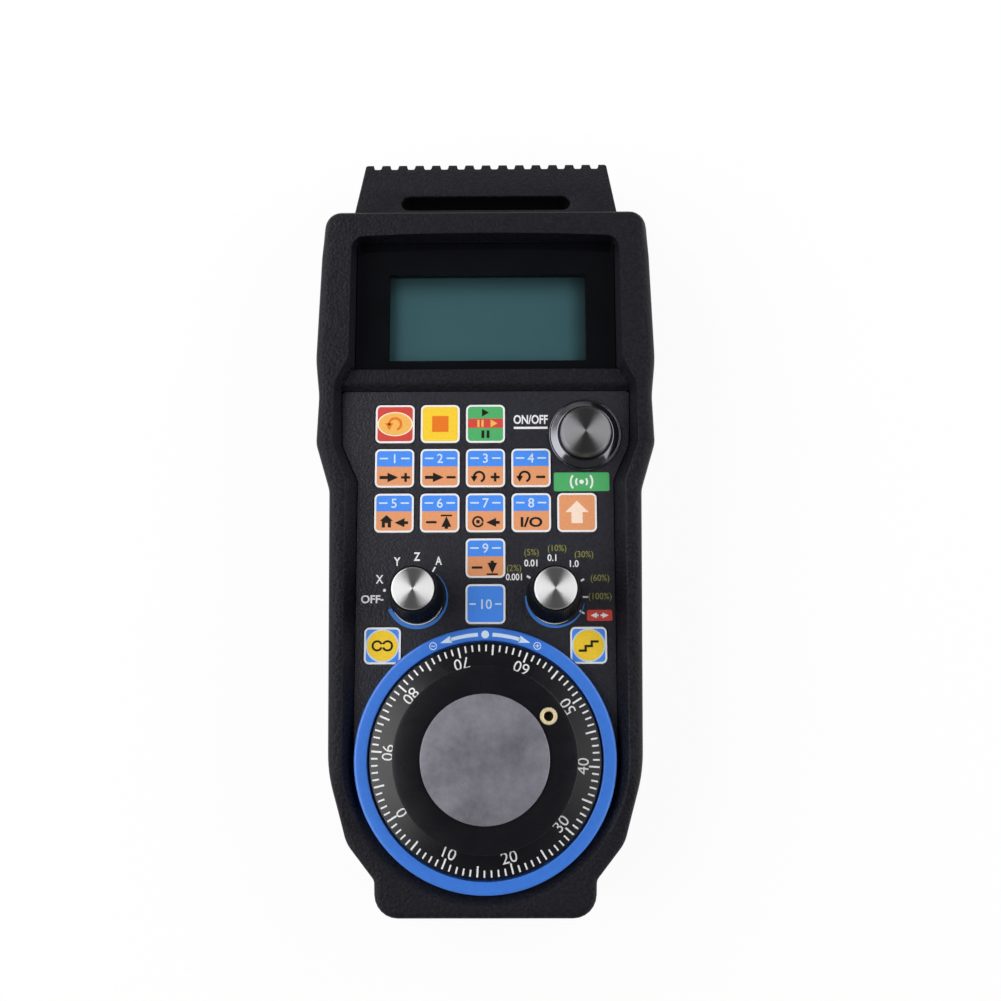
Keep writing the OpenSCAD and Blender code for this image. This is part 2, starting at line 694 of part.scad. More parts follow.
module dial() {
    edge_r = dial_r - 0.1;
    hub_r = hub_d / 2;
    placed() color(black) difference() {
        rotate_extrude() polygon([[0, dial_under_z], [edge_r, dial_under_z], [edge_r, panel_z + 2.1],
            [edge_r - 0.3, panel_z + 2.3], [hub_r + 0.6, panel_z + 3.3], [hub_r + 0.2, hub_top_z - 1.2],
            [hub_r - 0.8, hub_top_z], [0, hub_top_z]]);
        translate([0, 0, disc_seat_z]) cylinder(d = disc_d + 0.1, h = 10);
        tube(22, 7, 20, dial_under_z + 3);
        cylinder(d = wheel_shaft_d + 0.04, h = disc_seat_z - 3);
        cylinder(r = 1.7, h = 40);
        translate([0, 0, disc_seat_z - 2]) cylinder(r = 3.4, h = 10);
        rotate(insert_angle) translate([insert_reach, 0, hub_top_z - 4.2]) cylinder(r = 2.27, h = 10);
    }
}

module wheel_screw() {
    placed() color(steel) difference() {
        union() {
            translate([0, 0, disc_seat_z - 2]) cylinder(r = 3.2, h = 1.8);
            translate([0, 0, disc_seat_z - 11]) cylinder(r = 1.3, h = 9.5);
        }
        translate([0, 0, disc_seat_z - 1.4]) cylinder(r = 1.2, h = 4, $fn = 6);
    }
}

module hub_disc() {
    disc_r = disc_d / 2;
    placed() color([0.56, 0.55, 0.58]) translate([0, 0, disc_seat_z]) rotate_extrude()
        polygon([[0, 0], [disc_r, 0], [disc_r, 1.3], [disc_r - 0.3, 1.6], [0, 1.6]]);
}

module crank_insert() {
    placed() color(brass) rotate(insert_angle) translate([insert_reach, 0, 0])
        tube(2.25, insert_bore_d / 2, hub_top_z - 4.1, hub_top_z + 0.3);
}

rear_housing();
front_housing();
housing_seal();
housing_screws();
battery_door();
battery_cells();
battery_contacts();
key_overlay();
key_circuit();
key_domes();
key_reset();
key_stop();
key_start();
key_1();
key_2();
key_3();
key_4();
key_5();
key_6();
key_7();
key_8();
key_9();
key_10();
key_function();
key_continuous();
key_step();
display_window();
lcd_frame();
lcd_glass();
lcd_board();
display_ribbon();
main_board();
board_screws();
radio_module();
axis_switch();
step_switch();
selector_nuts();
axis_shaft();
axis_knob();
axis_cap();
step_shaft();
step_knob();
step_cap();
power_bezel();
power_nut();
power_spring();
power_contacts();
power_cap();
wheel_ring();
encoder_body();
encoder_screws();
wheel_bearings();
encoder_board();
encoder_cable();
wheel_shaft();
code_wheel();
dial();
wheel_screw();
hub_disc();
crank_insert();
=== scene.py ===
import json
import math

import bmesh
import bpy
from bpy.props import FloatProperty, FloatVectorProperty, IntProperty, PointerProperty
from mathutils import Matrix, Vector

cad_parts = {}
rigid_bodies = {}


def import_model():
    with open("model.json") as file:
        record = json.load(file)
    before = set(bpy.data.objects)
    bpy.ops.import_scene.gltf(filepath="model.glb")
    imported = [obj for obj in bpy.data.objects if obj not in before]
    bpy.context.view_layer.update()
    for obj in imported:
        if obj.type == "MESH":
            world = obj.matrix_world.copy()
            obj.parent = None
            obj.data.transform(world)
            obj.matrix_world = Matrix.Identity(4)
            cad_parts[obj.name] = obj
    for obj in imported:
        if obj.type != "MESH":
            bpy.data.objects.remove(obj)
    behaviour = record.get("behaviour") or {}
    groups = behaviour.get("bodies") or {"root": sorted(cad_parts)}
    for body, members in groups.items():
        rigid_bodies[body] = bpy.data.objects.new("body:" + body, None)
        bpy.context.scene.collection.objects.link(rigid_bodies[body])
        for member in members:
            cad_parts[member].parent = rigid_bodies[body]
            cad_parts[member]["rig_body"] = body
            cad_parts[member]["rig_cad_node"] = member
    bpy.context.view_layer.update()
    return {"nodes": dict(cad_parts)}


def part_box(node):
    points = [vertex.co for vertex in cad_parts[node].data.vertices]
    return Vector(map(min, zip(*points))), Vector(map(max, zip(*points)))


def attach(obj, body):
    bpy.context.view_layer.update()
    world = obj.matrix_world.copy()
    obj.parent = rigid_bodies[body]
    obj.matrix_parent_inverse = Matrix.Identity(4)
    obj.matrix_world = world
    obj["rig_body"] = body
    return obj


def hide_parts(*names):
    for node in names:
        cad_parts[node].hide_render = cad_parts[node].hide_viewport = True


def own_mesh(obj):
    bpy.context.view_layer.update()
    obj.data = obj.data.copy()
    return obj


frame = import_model()

bl_info = {
    "name": "Control pendant",
    "version": (1, 0, 0),
    "blender": (4, 5, 0),
    "location": "View3D > Sidebar > Pendant",
    "description": "Housing, printed keys, turned metal parts and studio for a handheld control pendant",
    "category": "Add Mesh",
}

MM = 0.001


# ---------------- places

def middle(node):
    """Centre of a node of the frame."""
    low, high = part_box(node)
    return (low + high) / 2


WHEEL = middle("dial")


def spot(x, y, z=0.0):
    """Frame point for millimetres from the wheel's axis and from the back."""
    return Vector((WHEEL.x + x * MM, WHEEL.y + y * MM, z * MM))


def plan(node):
    """Centre of a node in millimetres from the wheel's axis, seen from above."""
    offset = (middle(node) - WHEEL) / MM
    return offset.x, offset.y


def extent(node):
    """Lowest and highest x, y and z of a node, in millimetres from the wheel's axis and the back."""
    low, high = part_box(node)
    return [(a - b) / MM for a, b in zip((*low, *high), (WHEEL.x, WHEEL.y, 0) * 2)]


def bottom_of(node):
    """Height of a node's underside in millimetres."""
    return extent(node)[2]


def top_of(node):
    """Height of a node's top in millimetres."""
    return extent(node)[5]


def half_width(node):
    """Half of a node's width in millimetres."""
    low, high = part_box(node)
    return (high.x - low.x) / 2 / MM


# Heights and radii of the frame's nodes, in millimetres.
PANEL = top_of("key_overlay")
SPLIT = bottom_of("front_housing")
DIAL_R = extent("dial")[3]
RING_R = extent("wheel_ring")[3]
RING_TOP = top_of("wheel_ring")
HUB_TOP = top_of("dial")
KEY_TOP = top_of("key_1")
WINDOW_TOP = top_of("display_window")


# ---------------- settings

def linear(code):
    """Linear colour of an sRGB hex value."""
    channels = [int(code[k:k + 2], 16) / 255 for k in (0, 2, 4)]
    return tuple(c / 12.92 if c <= 0.04045 else ((c + 0.055) / 1.055) ** 2.4 for c in channels)


def colour_setting(name, code, description):
    return FloatVectorProperty(name=name, description=description, subtype="COLOR", size=3, min=0, max=1,
                               default=linear(code))


def length_setting(name, millimetres, description):
    return FloatProperty(name=name, description=description, unit="LENGTH", precision=5, min=0,
                         default=millimetres * MM)


class PendantSizes(bpy.types.PropertyGroup):
    """Sizes that shape the dressed pieces."""
    rim_width: length_setting("Rim rounding", 3.2, "Width of the rounded shoulder round the housing")
    print_height: length_setting("Print height", 0.03, "Thickness of printed marks")
    key_border: length_setting("Key border", 0.5, "Width of the white line round a key")
    key_corner: length_setting("Key corner", 1.4, "Corner radius of a key")
    tick_width: length_setting("Tick width", 0.42, "Width of the marks on the dial")
    tick_length: length_setting("Tick length", 1.75, "Length of a short mark on the dial")
    long_tick_length: length_setting("Long tick length", 2.75, "Length of every fifth mark on the dial")
    rib_pitch: length_setting("Crown rib pitch", 4.76, "Spacing of the ribs on the top end")
    knob_ribs: IntProperty(name="Knob ribs", description="Ribs round a selector knob", default=72, min=24,
                           max=120)


class PendantColours(bpy.types.PropertyGroup):
    """Colours of the finishes."""
    housing: colour_setting("Housing", "0e0e17", "Pebbled black plastic")
    panel: colour_setting("Key panel", "161622", "Printed film")
    ring: colour_setting("Wheel ring", "3b77d6", "Painted ring round the dial")
    dial: colour_setting("Dial", "101015", "Gloss black dial")
    hub: colour_setting("Hub disc", "908e98", "Grey metal disc")
    key_blue: colour_setting("Key blue", "4a8ff2", "Blue print")
    key_orange: colour_setting("Key orange", "e59b6c", "Orange print")
    key_yellow: colour_setting("Key yellow", "f8cf35", "Yellow print")
    key_red: colour_setting("Key red", "d2483f", "Red print")
    key_green: colour_setting("Key green", "4fae68", "Green print")
    mark_white: colour_setting("White marks", "eeeef0", "White print")
    display: colour_setting("Display", "49777f", "Unlit display")


# ---------------- finishes

finishes = {}


def add_node(tree, kind, settings=(), links=()):
    """Adds a node with its settings, such as a ramp's stops, and links its inputs."""
    node = tree.nodes.new(kind)
    for key, value in dict(settings).items():
        if key == "stops":
            for k, (position, tone) in enumerate(value):
                stop = node.color_ramp.elements[k] if k < 2 else node.color_ramp.elements.new(position)
                stop.position = position
                stop.color = (*tone, 1)
        elif isinstance(key, int) or key in node.inputs:
            node.inputs[key].default_value = value
        else:
            setattr(node, key, value)
    connect(tree, node, links)
    return node


def connect(tree, node, links):
    """Links a node's inputs, named or counted, to other nodes' first outputs or to an output itself."""
    for key, source in dict(links).items():
        tree.links.new(getattr(source, "outputs", [source])[0], node.inputs[key])


def shader_of(name, **constants):
    """New material, its tree and its Principled shader, whose sockets have constant values."""
    material = bpy.data.materials.new(name)
    material.use_nodes = True
    tree = material.node_tree
    shader = tree.nodes["Principled BSDF"]
    for key, value in constants.items():
        shader.inputs[key.replace("_", " ")].default_value = (*value, 1) if key == "Base_Color" else value
    return material, tree, shader


def object_place(tree, centre=(0, 0, 0)):
    """Object coordinates measured from a centre, in metres."""
    place = add_node(tree, "ShaderNodeTexCoord")
    shift = add_node(tree, "ShaderNodeVectorMath", {"operation": "SUBTRACT", 1: centre},
                     {0: place.outputs["Object"]})
    return add_node(tree, "ShaderNodeMapping", (), {"Vector": shift}).outputs[0]


def tint(colour, factor):
    """A colour made lighter or darker."""
    return tuple(min(c * factor, 1) for c in colour)


def grain(tree, shader, size_mm, depth_mm, strength, colour, spread, detail=3.0):
    """Noise of a real grain size that varies the colour between two tones and lifts the surface."""
    noise = add_node(tree, "ShaderNodeTexNoise", {"Scale": 1 / (size_mm * MM), "Detail": detail},
                     {"Vector": object_place(tree)})
    tones = add_node(tree, "ShaderNodeValToRGB",
                     {"stops": [(0.35, tint(colour, 1 - spread)), (0.65, tint(colour, 1 + spread))]},
                     {"Fac": noise})
    bump = add_node(tree, "ShaderNodeBump", {"Strength": strength, "Distance": depth_mm * MM},
                    {"Height": noise})
    connect(tree, shader, {"Base Color": tones, "Normal": bump})


def colours():
    """Colours set in the panel."""
    return bpy.context.scene.pendant_colours


def sizes():
    """Sizes set in the panel."""
    return bpy.context.scene.pendant_sizes


def shade(code):
    """Linear colour of a colour setting or of an sRGB hex value."""
    return tuple(getattr(colours(), code)) if code in PendantColours.__annotations__ else linear(code)


def pebbled_abs(name):
    """Moulded ABS from a spark-eroded tool: fine pebbles that scatter a broad, soft sheen."""
    material, tree, shader = shader_of(name, Roughness=0.52, IOR=1.53, Specular_IOR_Level=0.22)
    # Pebbles are 0.3 mm across; they are drawn at 0.75 mm so that they show.
    grain(tree, shader, 0.75, 0.3, 1.0, shade("housing"), 0.5, detail=2.0)
    return material


def smooth_abs(name):
    """Moulded ABS with a fine matt grain, as on the door."""
    material, tree, shader = shader_of(name, Roughness=0.46, IOR=1.53, Specular_IOR_Level=0.25)
    grain(tree, shader, 0.4, 0.03, 0.3, shade("housing"), 0.12)
    return material


def printed_film(name):
    """Textured polyester film, printed black from behind: fine speckles with a soft sheen."""
    material, tree, shader = shader_of(name, Roughness=0.42, IOR=1.58)
    # The film's texture is 0.15 mm; it is drawn at 0.6 mm so that it shows.
    grain(tree, shader, 0.6, 0.15, 0.9, shade("panel"), 0.5, detail=2.0)
    return material


def ink(name, code, roughness=0.38):
    """Screen-printed ink on textured film: flat colour with the film's slight unevenness."""
    material, tree, shader = shader_of(name, Roughness=roughness, IOR=1.5)
    grain(tree, shader, 0.45, 0.02, 0.25, shade(code), 0.05, detail=2.0)
    return material


def satin_paint(name):
    """Satin lacquer on a turned aluminium ring: an even colour with a wide, soft highlight."""
    material, tree, shader = shader_of(name, Roughness=0.34, IOR=1.5, Coat_Weight=0.25, Coat_Roughness=0.25)
    grain(tree, shader, 1.2, 0.01, 0.2, shade("ring"), 0.04)
    return material


def gloss_moulding(name):
    """Polished black moulding of the dial: dark and glossy, with faint wiping marks."""
    material, tree, shader = shader_of(name, Base_Color=shade("dial"), IOR=1.52)
    place = object_place(tree, tuple(WHEEL))
    smear = add_node(tree, "ShaderNodeTexNoise", {"Scale": 1 / (9 * MM), "Detail": 5.0, "Distortion": 1.2},
                     {"Vector": place})
    shine = add_node(tree, "ShaderNodeMapRange", {"To Min": 0.2, "To Max": 0.34}, {"Value": smear})
    fine = add_node(tree, "ShaderNodeTexNoise", {"Scale": 1 / (0.3 * MM)}, {"Vector": place})
    bump = add_node(tree, "ShaderNodeBump", {"Strength": 0.12, "Distance": 0.01 * MM}, {"Height": fine})
    connect(tree, shader, {"Roughness": shine, "Normal": bump})
    return material


def blasted_disc(name):
    """Bead-blasted metal disc, handled a lot: satin grey with cloudy patches."""
    colour = shade("hub")
    material, tree, shader = shader_of(name, Metallic=0.75, Roughness=0.46)
    place = object_place(tree, tuple(WHEEL))
    cloud = add_node(tree, "ShaderNodeTexNoise", {"Scale": 1 / (13 * MM), "Detail": 9.0, "Roughness": 0.7},
                     {"Vector": place})
    tones = add_node(tree, "ShaderNodeValToRGB",
                     {"stops": [(0.3, tint(colour, 0.6)), (0.7, tint(colour, 1.4))]}, {"Fac": cloud})
    pits = add_node(tree, "ShaderNodeTexNoise", {"Scale": 1 / (0.35 * MM), "Detail": 2.0}, {"Vector": place})
    bump = add_node(tree, "ShaderNodeBump", {"Strength": 0.35, "Distance": 0.02 * MM}, {"Height": pits})
    connect(tree, shader, {"Base Color": tones, "Normal": bump})
    return material


def spun_metal(name, node, code="f5f5f6"):
    """Aluminium faced on a lathe: circles fine enough to draw the light into two bright fans."""
    material, tree, shader = shader_of(name, Metallic=1.0, Roughness=0.4, Anisotropic=1.0,
                                       Anisotropic_Rotation=0.25)
    centre = middle(node)
    # Turning marks are 0.08 mm apart; they are drawn 0.25 mm apart so that they show.
    pitch = 0.25 * MM
    rings = add_node(tree, "ShaderNodeTexWave",
                     {"wave_type": "RINGS", "rings_direction": "Z", "Scale": 2 * math.pi / (20 * pitch),
                      "Distortion": 0.6, "Detail": 2.0},
                     {"Vector": object_place(tree, (centre.x, centre.y, 0))})
    height = rings.outputs["Fac"]
    tones = add_node(tree, "ShaderNodeValToRGB",
                     {"stops": [(0.2, tint(linear(code), 0.86)), (0.8, linear(code))]}, {"Fac": height})
    bump = add_node(tree, "ShaderNodeBump", {"Strength": 0.2, "Distance": 0.006 * MM}, {"Height": height})
    around = add_node(tree, "ShaderNodeTangent", {"direction_type": "RADIAL", "axis": "Z"})
    connect(tree, shader, {"Tangent": around, "Base Color": tones, "Normal": bump})
    return material


def plain_metal(name, code, roughness, grain_mm=0.3, spread=0.08, metallic=1.0):
    """Machined or plated metal with a slight, fine unevenness."""
    material, tree, shader = shader_of(name, Metallic=metallic, Roughness=roughness)
    grain(tree, shader, grain_mm, 0.004, 0.2, linear(code), spread)
    return material


def plain_plastic(name, code, roughness, sheen=0.5):
    """Moulded or laminated plastic with a slight, fine unevenness."""
    material, tree, shader = shader_of(name, Roughness=roughness, IOR=1.5, Specular_IOR_Level=sheen)
    grain(tree, shader, 0.5, 0.01, 0.2, linear(code), 0.08)
    return material


def unlit_display(name):
    """Liquid crystal cell with its light off: dull teal, with painted shade that darkens it toward the frame
    at its edges, where the frame's shadow falls.
    """
    colour = shade("display")
    material, tree, shader = shader_of(name, Roughness=0.5, IOR=1.5, Specular_IOR_Level=0.3)
    place = add_node(tree, "ShaderNodeSeparateXYZ", (),
                     {"Vector": object_place(tree, tuple(spot(VIEW_X, VIEW_Y)))})
    light = None
    # Axis, where the painted shadow starts and ends in millimetres, and the share of the colour that is left
    # in it.
    for axis, start, end, least in (("X", -27.5, -23.5, 0.9), ("X", 27.5, 21, 0.35), ("Y", 12.5, 4.5, 0.45)):
        fall = add_node(tree, "ShaderNodeMapRange",
                        {"interpolation_type": "SMOOTHSTEP", "From Min": start * MM, "From Max": end * MM,
                         "To Min": least, "To Max": 1.0}, {"Value": place.outputs[axis]})
        if light:
            fall = add_node(tree, "ShaderNodeMath", {"operation": "MULTIPLY"}, {0: light, 1: fall})
        light = fall
    # Painted shade: the ramp darkens the teal toward a tenth of it as the painted shadow deepens.
    tones = add_node(tree, "ShaderNodeValToRGB", {"stops": [(0.0, tint(colour, 0.1)), (1.0, colour)]},
                     {"Fac": light})
    connect(tree, shader, {"Base Color": tones})
    return material


def clear_acrylic(name):
    """Cast acrylic window: clear with a faint smoky tint and a sharp shine."""
    material, tree, shader = shader_of(name, Base_Color=linear("101418"), IOR=1.49, Alpha=0.16)
    haze = add_node(tree, "ShaderNodeTexNoise", {"Scale": 1 / (20 * MM), "Detail": 4.0},
                    {"Vector": object_place(tree)})
    wiped = add_node(tree, "ShaderNodeMapRange", {"To Min": 0.04, "To Max": 0.1}, {"Value": haze})
    connect(tree, shader, {"Roughness": wiped})
    return material


def black_border(name):
    """Black ink behind the acrylic, seen through its polished face."""
    material, tree, shader = shader_of(name, Roughness=0.07, IOR=1.49)
    grain(tree, shader, 12, 0.002, 0.1, linear("0c0d11"), 0.12)
    return material


def circuit_board(name):
    """Solder resist on glass fibre: deep green with faint tracks under it."""
    material, tree, shader = shader_of(name, Roughness=0.35, IOR=1.5)
    green, light, line = ((*linear(code), 1) for code in ("0d4423", "12532c", "1f6b3c"))
    tracks = add_node(tree, "ShaderNodeTexBrick", {"Scale": 1 / (6 * MM), "Color1": green, "Color2": light,
                      "Mortar": line}, {"Vector": object_place(tree)})
    connect(tree, shader, {"Base Color": tracks})
    return material


# How each finish is made: its function and what that takes after the finish's name.
RECIPES = {
    "pebbled_abs": (pebbled_abs,),
    "smooth_abs": (smooth_abs,),
    "printed_film": (printed_film,),
    "white_ink": (ink, "mark_white"),
    "pale_ink": (ink, "cfe2f8"),
    "pale_peach_ink": (ink, "ffe3cf"),
    "pale_amber_ink": (ink, "fbe9c8"),
    "black_ink": (ink, "15130f"),
    "olive_ink": (ink, "8d8c4a"),
    "blue_ink": (ink, "key_blue"),
    "arc_ink": (ink, "3f7ccf"),
    "orange_ink": (ink, "key_orange"),
    "deep_orange_ink": (ink, "e8791f"),
    "amber_ink": (ink, "f2b75c"),
    "yellow_ink": (ink, "key_yellow"),
    "red_ink": (ink, "key_red"),
    "green_ink": (ink, "key_green"),
    "dial_white": (ink, "f2f2f2", 0.3),
    "satin_paint": (satin_paint,),
    "gloss_moulding": (gloss_moulding,),
    "blasted_disc": (blasted_disc,),
    "axis_spun": (spun_metal, "axis_cap"),
    "step_spun": (spun_metal, "step_cap"),
    "power_spun": (spun_metal, "power_cap", "9a999c"),
    # Polished chrome plating: a near mirror, a little dark, with soft waves.
    "bright_chrome": (plain_metal, "707076", 0.12, 2.0, 0.03),
    # Turned brass, dulled by handling: pale yellow and satin.
    "brass": (plain_metal, "f7e6bd", 0.5, 0.3, 0.08, 0.65),
    # Machined or drawn steel: neutral grey with a soft shine.
    "steel": (plain_metal, "b4b4b2", 0.35),
    # Nickel-plated spring strip: bright and slightly warm.
    "contact_plate": (plain_metal, "c9c2b0", 0.25),
    # Blackened tin plate: dark, with a dull shine.
    "dark_tin": (plain_metal, "3c3d40", 0.45),
    # Teal display with painted shade toward its frame.
    "unlit_display": (unlit_display,),
    "clear_acrylic": (clear_acrylic,),
    "black_border": (black_border,),
    "circuit_board": (circuit_board,),
    # Moulded black phenolic: dark with a sharp little sheen on each rib of a knob.
    "phenolic": (plain_plastic, "0e0e0f", 0.4, 0.12),
    # Matt black liner: a dark sheet laid in the strap slot as painted shade, which takes the light up so that
    # the slot looks deep.
    "painted_shade_black": (plain_plastic, "030304", 0.8, 0.02),
    # Moulded nitrile seal: dull black.
    "rubber": (plain_plastic, "1b1b1d", 0.75),
    # Moulded nylon, natural or dyed: waxy, with a wide soft sheen.
    "nylon": (plain_plastic, "c9c8c0", 0.5),
    "black_nylon": (plain_plastic, "1a1a1c", 0.5),
    # Shrunk printed sleeve of a battery: smooth and shiny.
    "cell_wrap": (plain_plastic, "2f6a45", 0.3),
    # Laminated polyester circuit: pale and slightly yellow.
    "clear_film": (plain_plastic, "a7a58f", 0.35),
}


def finish(name):
    """Material of that name, made when it is first asked for."""
    if name not in finishes:
        maker, *details = RECIPES[name]
        finishes[name] = maker(name, *details)
    return finishes[name]


# ---------------- modelling by hand

def clear_selection():
    if bpy.context.object and bpy.context.object.mode != "OBJECT":
        bpy.ops.object.mode_set(mode="OBJECT")
    bpy.ops.object.select_all(action="DESELECT")


def pick(*objects):
    """Selects objects; the first becomes active."""
    clear_selection()
    for obj in objects:
        obj.select_set(True)
    bpy.context.view_layer.objects.active = objects[0]


def arc(x, y, radius, start, end, steps=8):
    """Points along an arc, in degrees counterclockwise from +X."""
    angles = [math.radians(start + (end - start) * k / steps) for k in range(steps + 1)]
    return [(x + radius * math.cos(a), y + radius * math.sin(a)) for a in angles]


def dot(x, y, radius, steps):
    """Outline of a round spot."""
    return arc(x, y, radius, 0, 360, steps)[:-1]


def moved(points, x, y, turn=0.0):
    """Outline turned by degrees about its own origin, then moved to a place."""
    a = math.radians(turn)
    return [(x + u * math.cos(a) - v * math.sin(a), y + u * math.sin(a) + v * math.cos(a)) for u, v in points]


def mixed(a, b, share):
    """Point a share of the way from a to b."""
    return tuple(p + (q - p) * share for p, q in zip(a, b))


def rounded_corner(before, at, after, inward, steps):
    """Arc round a corner (x, y, radius) of a clockwise outline that is moved inward."""
    q = Vector(at[:2])
    u = (q - Vector(before[:2])).normalized()
    v = (Vector(after[:2]) - q).normalized()
    n = Vector((u.y, -u.x))
    m = Vector((v.y, -v.x))
    turn = math.atan2(u.x * v.y - u.y * v.x, u.dot(v))
    side = 1 if turn < 0 else -1
    radius = max(at[2] - side * inward, 0.2)
    centre = q + (n + m) / (1 + n.dot(m)) * (inward + side * radius)
    spokes = [n @ Matrix.Rotation(-turn * k / steps, 2) for k in range(steps + 1)]
    return [tuple(centre - side * radius * s) for s in spokes]


def outline(corners, inward=0.0, steps=6, cuts=4):
    """Closed outline from its right-hand corners, top to bottom, with its straight runs divided."""
    def across(corner):
        return (-corner[0], *corner[1:])

    arcs = []
    for k, at in enumerate(corners):
        before = corners[k - 1] if k else across(corners[0])
        after = corners[k + 1] if k + 1 < len(corners) else across(corners[-1])
        arcs.append(rounded_corner(before, at, after, inward, steps))
    arcs += [[across(p) for p in reversed(run)] for run in reversed(arcs)]
    points = []
    for run, following in zip(arcs, arcs[1:] + arcs[:1]):
        points += run
        points += [mixed(run[-1], following[0], k / cuts) for k in range(1, cuts)]
    return points


def rounded_box(half, low, high, rounding, inward=0.0, steps=3):
    """Outline of a rectangle, centred on the wheel's axis from side to side, with rounded corners."""
    return outline([(half, high, rounding), (half, low, rounding)], inward, steps, 1)


def box_line(half, low, high):
    """Outline of a rectangle with sharp corners, centred on the wheel's axis from side to side."""
    return [(half, high), (half, low), (-half, low), (-half, high)]


def level(points, height):
    """Points of an outline at one height."""
    return [(x, y, height) for x, y in points]


# Radius that stands for none, in millimetres.
LEAST_R = 0.0004


def loft(rings, closed=False):
    """New object drawn through rings of points by extruding the open edge from each ring to the next."""
    clear_selection()
    bpy.ops.mesh.primitive_circle_add(vertices=len(rings[0]), radius=1)
    obj = bpy.context.object
    around = obj.data.attributes.new("around", "INT", "POINT")
    for vertex, point in zip(obj.data.vertices, rings[0]):
        vertex.co = spot(*point)
        around.data[vertex.index].value = vertex.index
    bpy.ops.object.mode_set(mode="EDIT")
    bpy.ops.mesh.select_mode(type="VERT")
    bpy.ops.mesh.select_all(action="SELECT")
    if not closed:
        bpy.ops.mesh.edge_face_add()
    for ring in rings[1:]:
        bpy.ops.mesh.extrude_region_move()
        mesh = bmesh.from_edit_mesh(obj.data)
        order = mesh.verts.layers.int["around"]
        for vertex in mesh.verts:
            if vertex.select:
                vertex.co = spot(*ring[vertex[order]])
        bmesh.update_edit_mesh(obj.data)
    bpy.ops.mesh.select_all(action="SELECT")
    bpy.ops.mesh.remove_doubles(threshold=0.002 * MM)
    bpy.ops.mesh.normals_make_consistent(inside=False)
    bpy.ops.object.mode_set(mode="OBJECT")
    obj.data.attributes.remove(obj.data.attributes["around"])
    return obj


def plate(points, low, high):
    """Flat solid with a given outline."""
    return loft([level(points, low), level(points, high)])


def closed_up(rings, closed):
    """Loft through the rings, and back to the first one for a hollow form."""
    return loft(rings + rings[:1] if closed else rings, closed)


def turned(x, y, profile, sides=96, closed=False):
    """Solid of revolution about a vertical axis; profile is (radius, height) from one end to the other."""
    rings = [level(arc(x, y, max(r, LEAST_R), 0, 360, sides)[:-1], z) for r, z in profile]
    return closed_up(rings, closed)


def softened(profile, steps=4):
    """Profile whose corners (radius, height, rounding) are rounded; the two ends stay sharp."""
    points = [profile[0][:2]]
    for before, at, after in zip(profile, profile[1:], profile[2:]):
        rounding = at[2] if len(at) > 2 else 0
        if rounding == 0:
            points.append(at[:2])
            continue
        corner = Vector(at[:2])
        back = (Vector(before[:2]) - corner).normalized()
        ahead = (Vector(after[:2]) - corner).normalized()
        for t in (k / steps for k in range(steps + 1)):
            bend = (1 - t) ** 2 * back * rounding + t ** 2 * ahead * rounding
            points.append(tuple(corner + bend))
    return [*points, profile[-1][:2]]


def joined(objects):
    """One object from several."""
    pick(*objects)
    if len(objects) > 1:
        bpy.ops.object.join()
    return objects[0]


def combined(obj, others, operation):
    """Adds other solids to an object, or cuts them away, one after another."""
    for tool in others:
        pick(obj)
        change = obj.modifiers.new("shape", "BOOLEAN")
        change.operation = operation
        change.solver = "EXACT"
        change.object = tool
        bpy.ops.object.modifier_apply(modifier=change.name)
        bpy.data.objects.remove(tool)
    return obj


def place_piece(obj, name, body, material=None, replaces=(), smooth=35):
    """Names a finished piece, gives it its finish and body, and hides the nodes that it stands for."""
    pick(obj)
    obj.name = obj.data.name = name
    if material:
        obj.data.materials.clear()
        obj.data.materials.append(finish(material))
    if smooth:
        bpy.ops.object.shade_smooth_by_angle(angle=math.radians(smooth))
    bpy.ops.object.transform_apply(location=True, rotation=True, scale=True)
    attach(obj, body)
    if replaces:
        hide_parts(*replaces)
    return obj


def dress(material, *nodes):
    """Gives nodes of the frame a finish; their shapes stay."""
    for node in nodes:
        obj = frame["nodes"][node]
        obj.data.materials.clear()
        obj.data.materials.append(finish(material))


def in_edit_mode(*steps):
    """Runs mesh operators, each with its settings, on all of the active object."""
    bpy.ops.object.mode_set(mode="EDIT")
    bpy.ops.mesh.select_all(action="SELECT")
    for operator, settings in steps:
        operator(**settings)
    bpy.ops.object.mode_set(mode="OBJECT")


def copied(node):
    """Merged copy of a node of the frame, free of its body."""
    clear_selection()
    source = frame["nodes"][node]
    obj = source.copy()
    obj.data = source.data.copy()
    bpy.context.scene.collection.objects.link(obj)
    obj.parent = None
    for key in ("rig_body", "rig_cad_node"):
        del obj[key]
    pick(obj)
    in_edit_mode((bpy.ops.mesh.remove_doubles, {"threshold": 0.005 * MM}),
                 (bpy.ops.mesh.dissolve_limited, {"angle_limit": math.radians(0.5)}))
    return obj


def words(text, size, x, y, low, weight=0.0, squeeze=1.0):
    """Lettering as a thin solid; size is the height of a capital in millimetres."""
    clear_selection()
    bpy.ops.object.text_add()
    letters = bpy.context.object.data
    letters.body = text
    # A capital is 0.7 of the font's size.
    letters.size = size / 0.7 * MM
    letters.align_x = "CENTER"
    letters.resolution_u = 4
    letters.offset = weight * MM
    letters.extrude = sizes().print_height / 2
    bpy.ops.object.convert(target="MESH")
    obj = bpy.context.object
    in_edit_mode((bpy.ops.mesh.remove_doubles, {"threshold": 0.0005 * MM}))
    lift = Matrix.Translation((0, -size / 2 * MM, sizes().print_height / 2))
    obj.data.transform(Matrix.Translation(spot(x, y, low)) @ Matrix.Diagonal((squeeze, 1, 1, 1)) @ lift)
    return obj


def mark(points, low):
    """Printed shape as a thin solid."""
    return plate(points, low, low + sizes().print_height / MM)


def printed(name, body, tone, shapes, low):
    """One piece of print on a surface, from outlines and from lettering that is already made."""
    objects = [mark(s, low) if isinstance(s, list) else s for s in shapes]
    return place_piece(joined(objects), name, body, tone, smooth=0)


# ---------------- housing

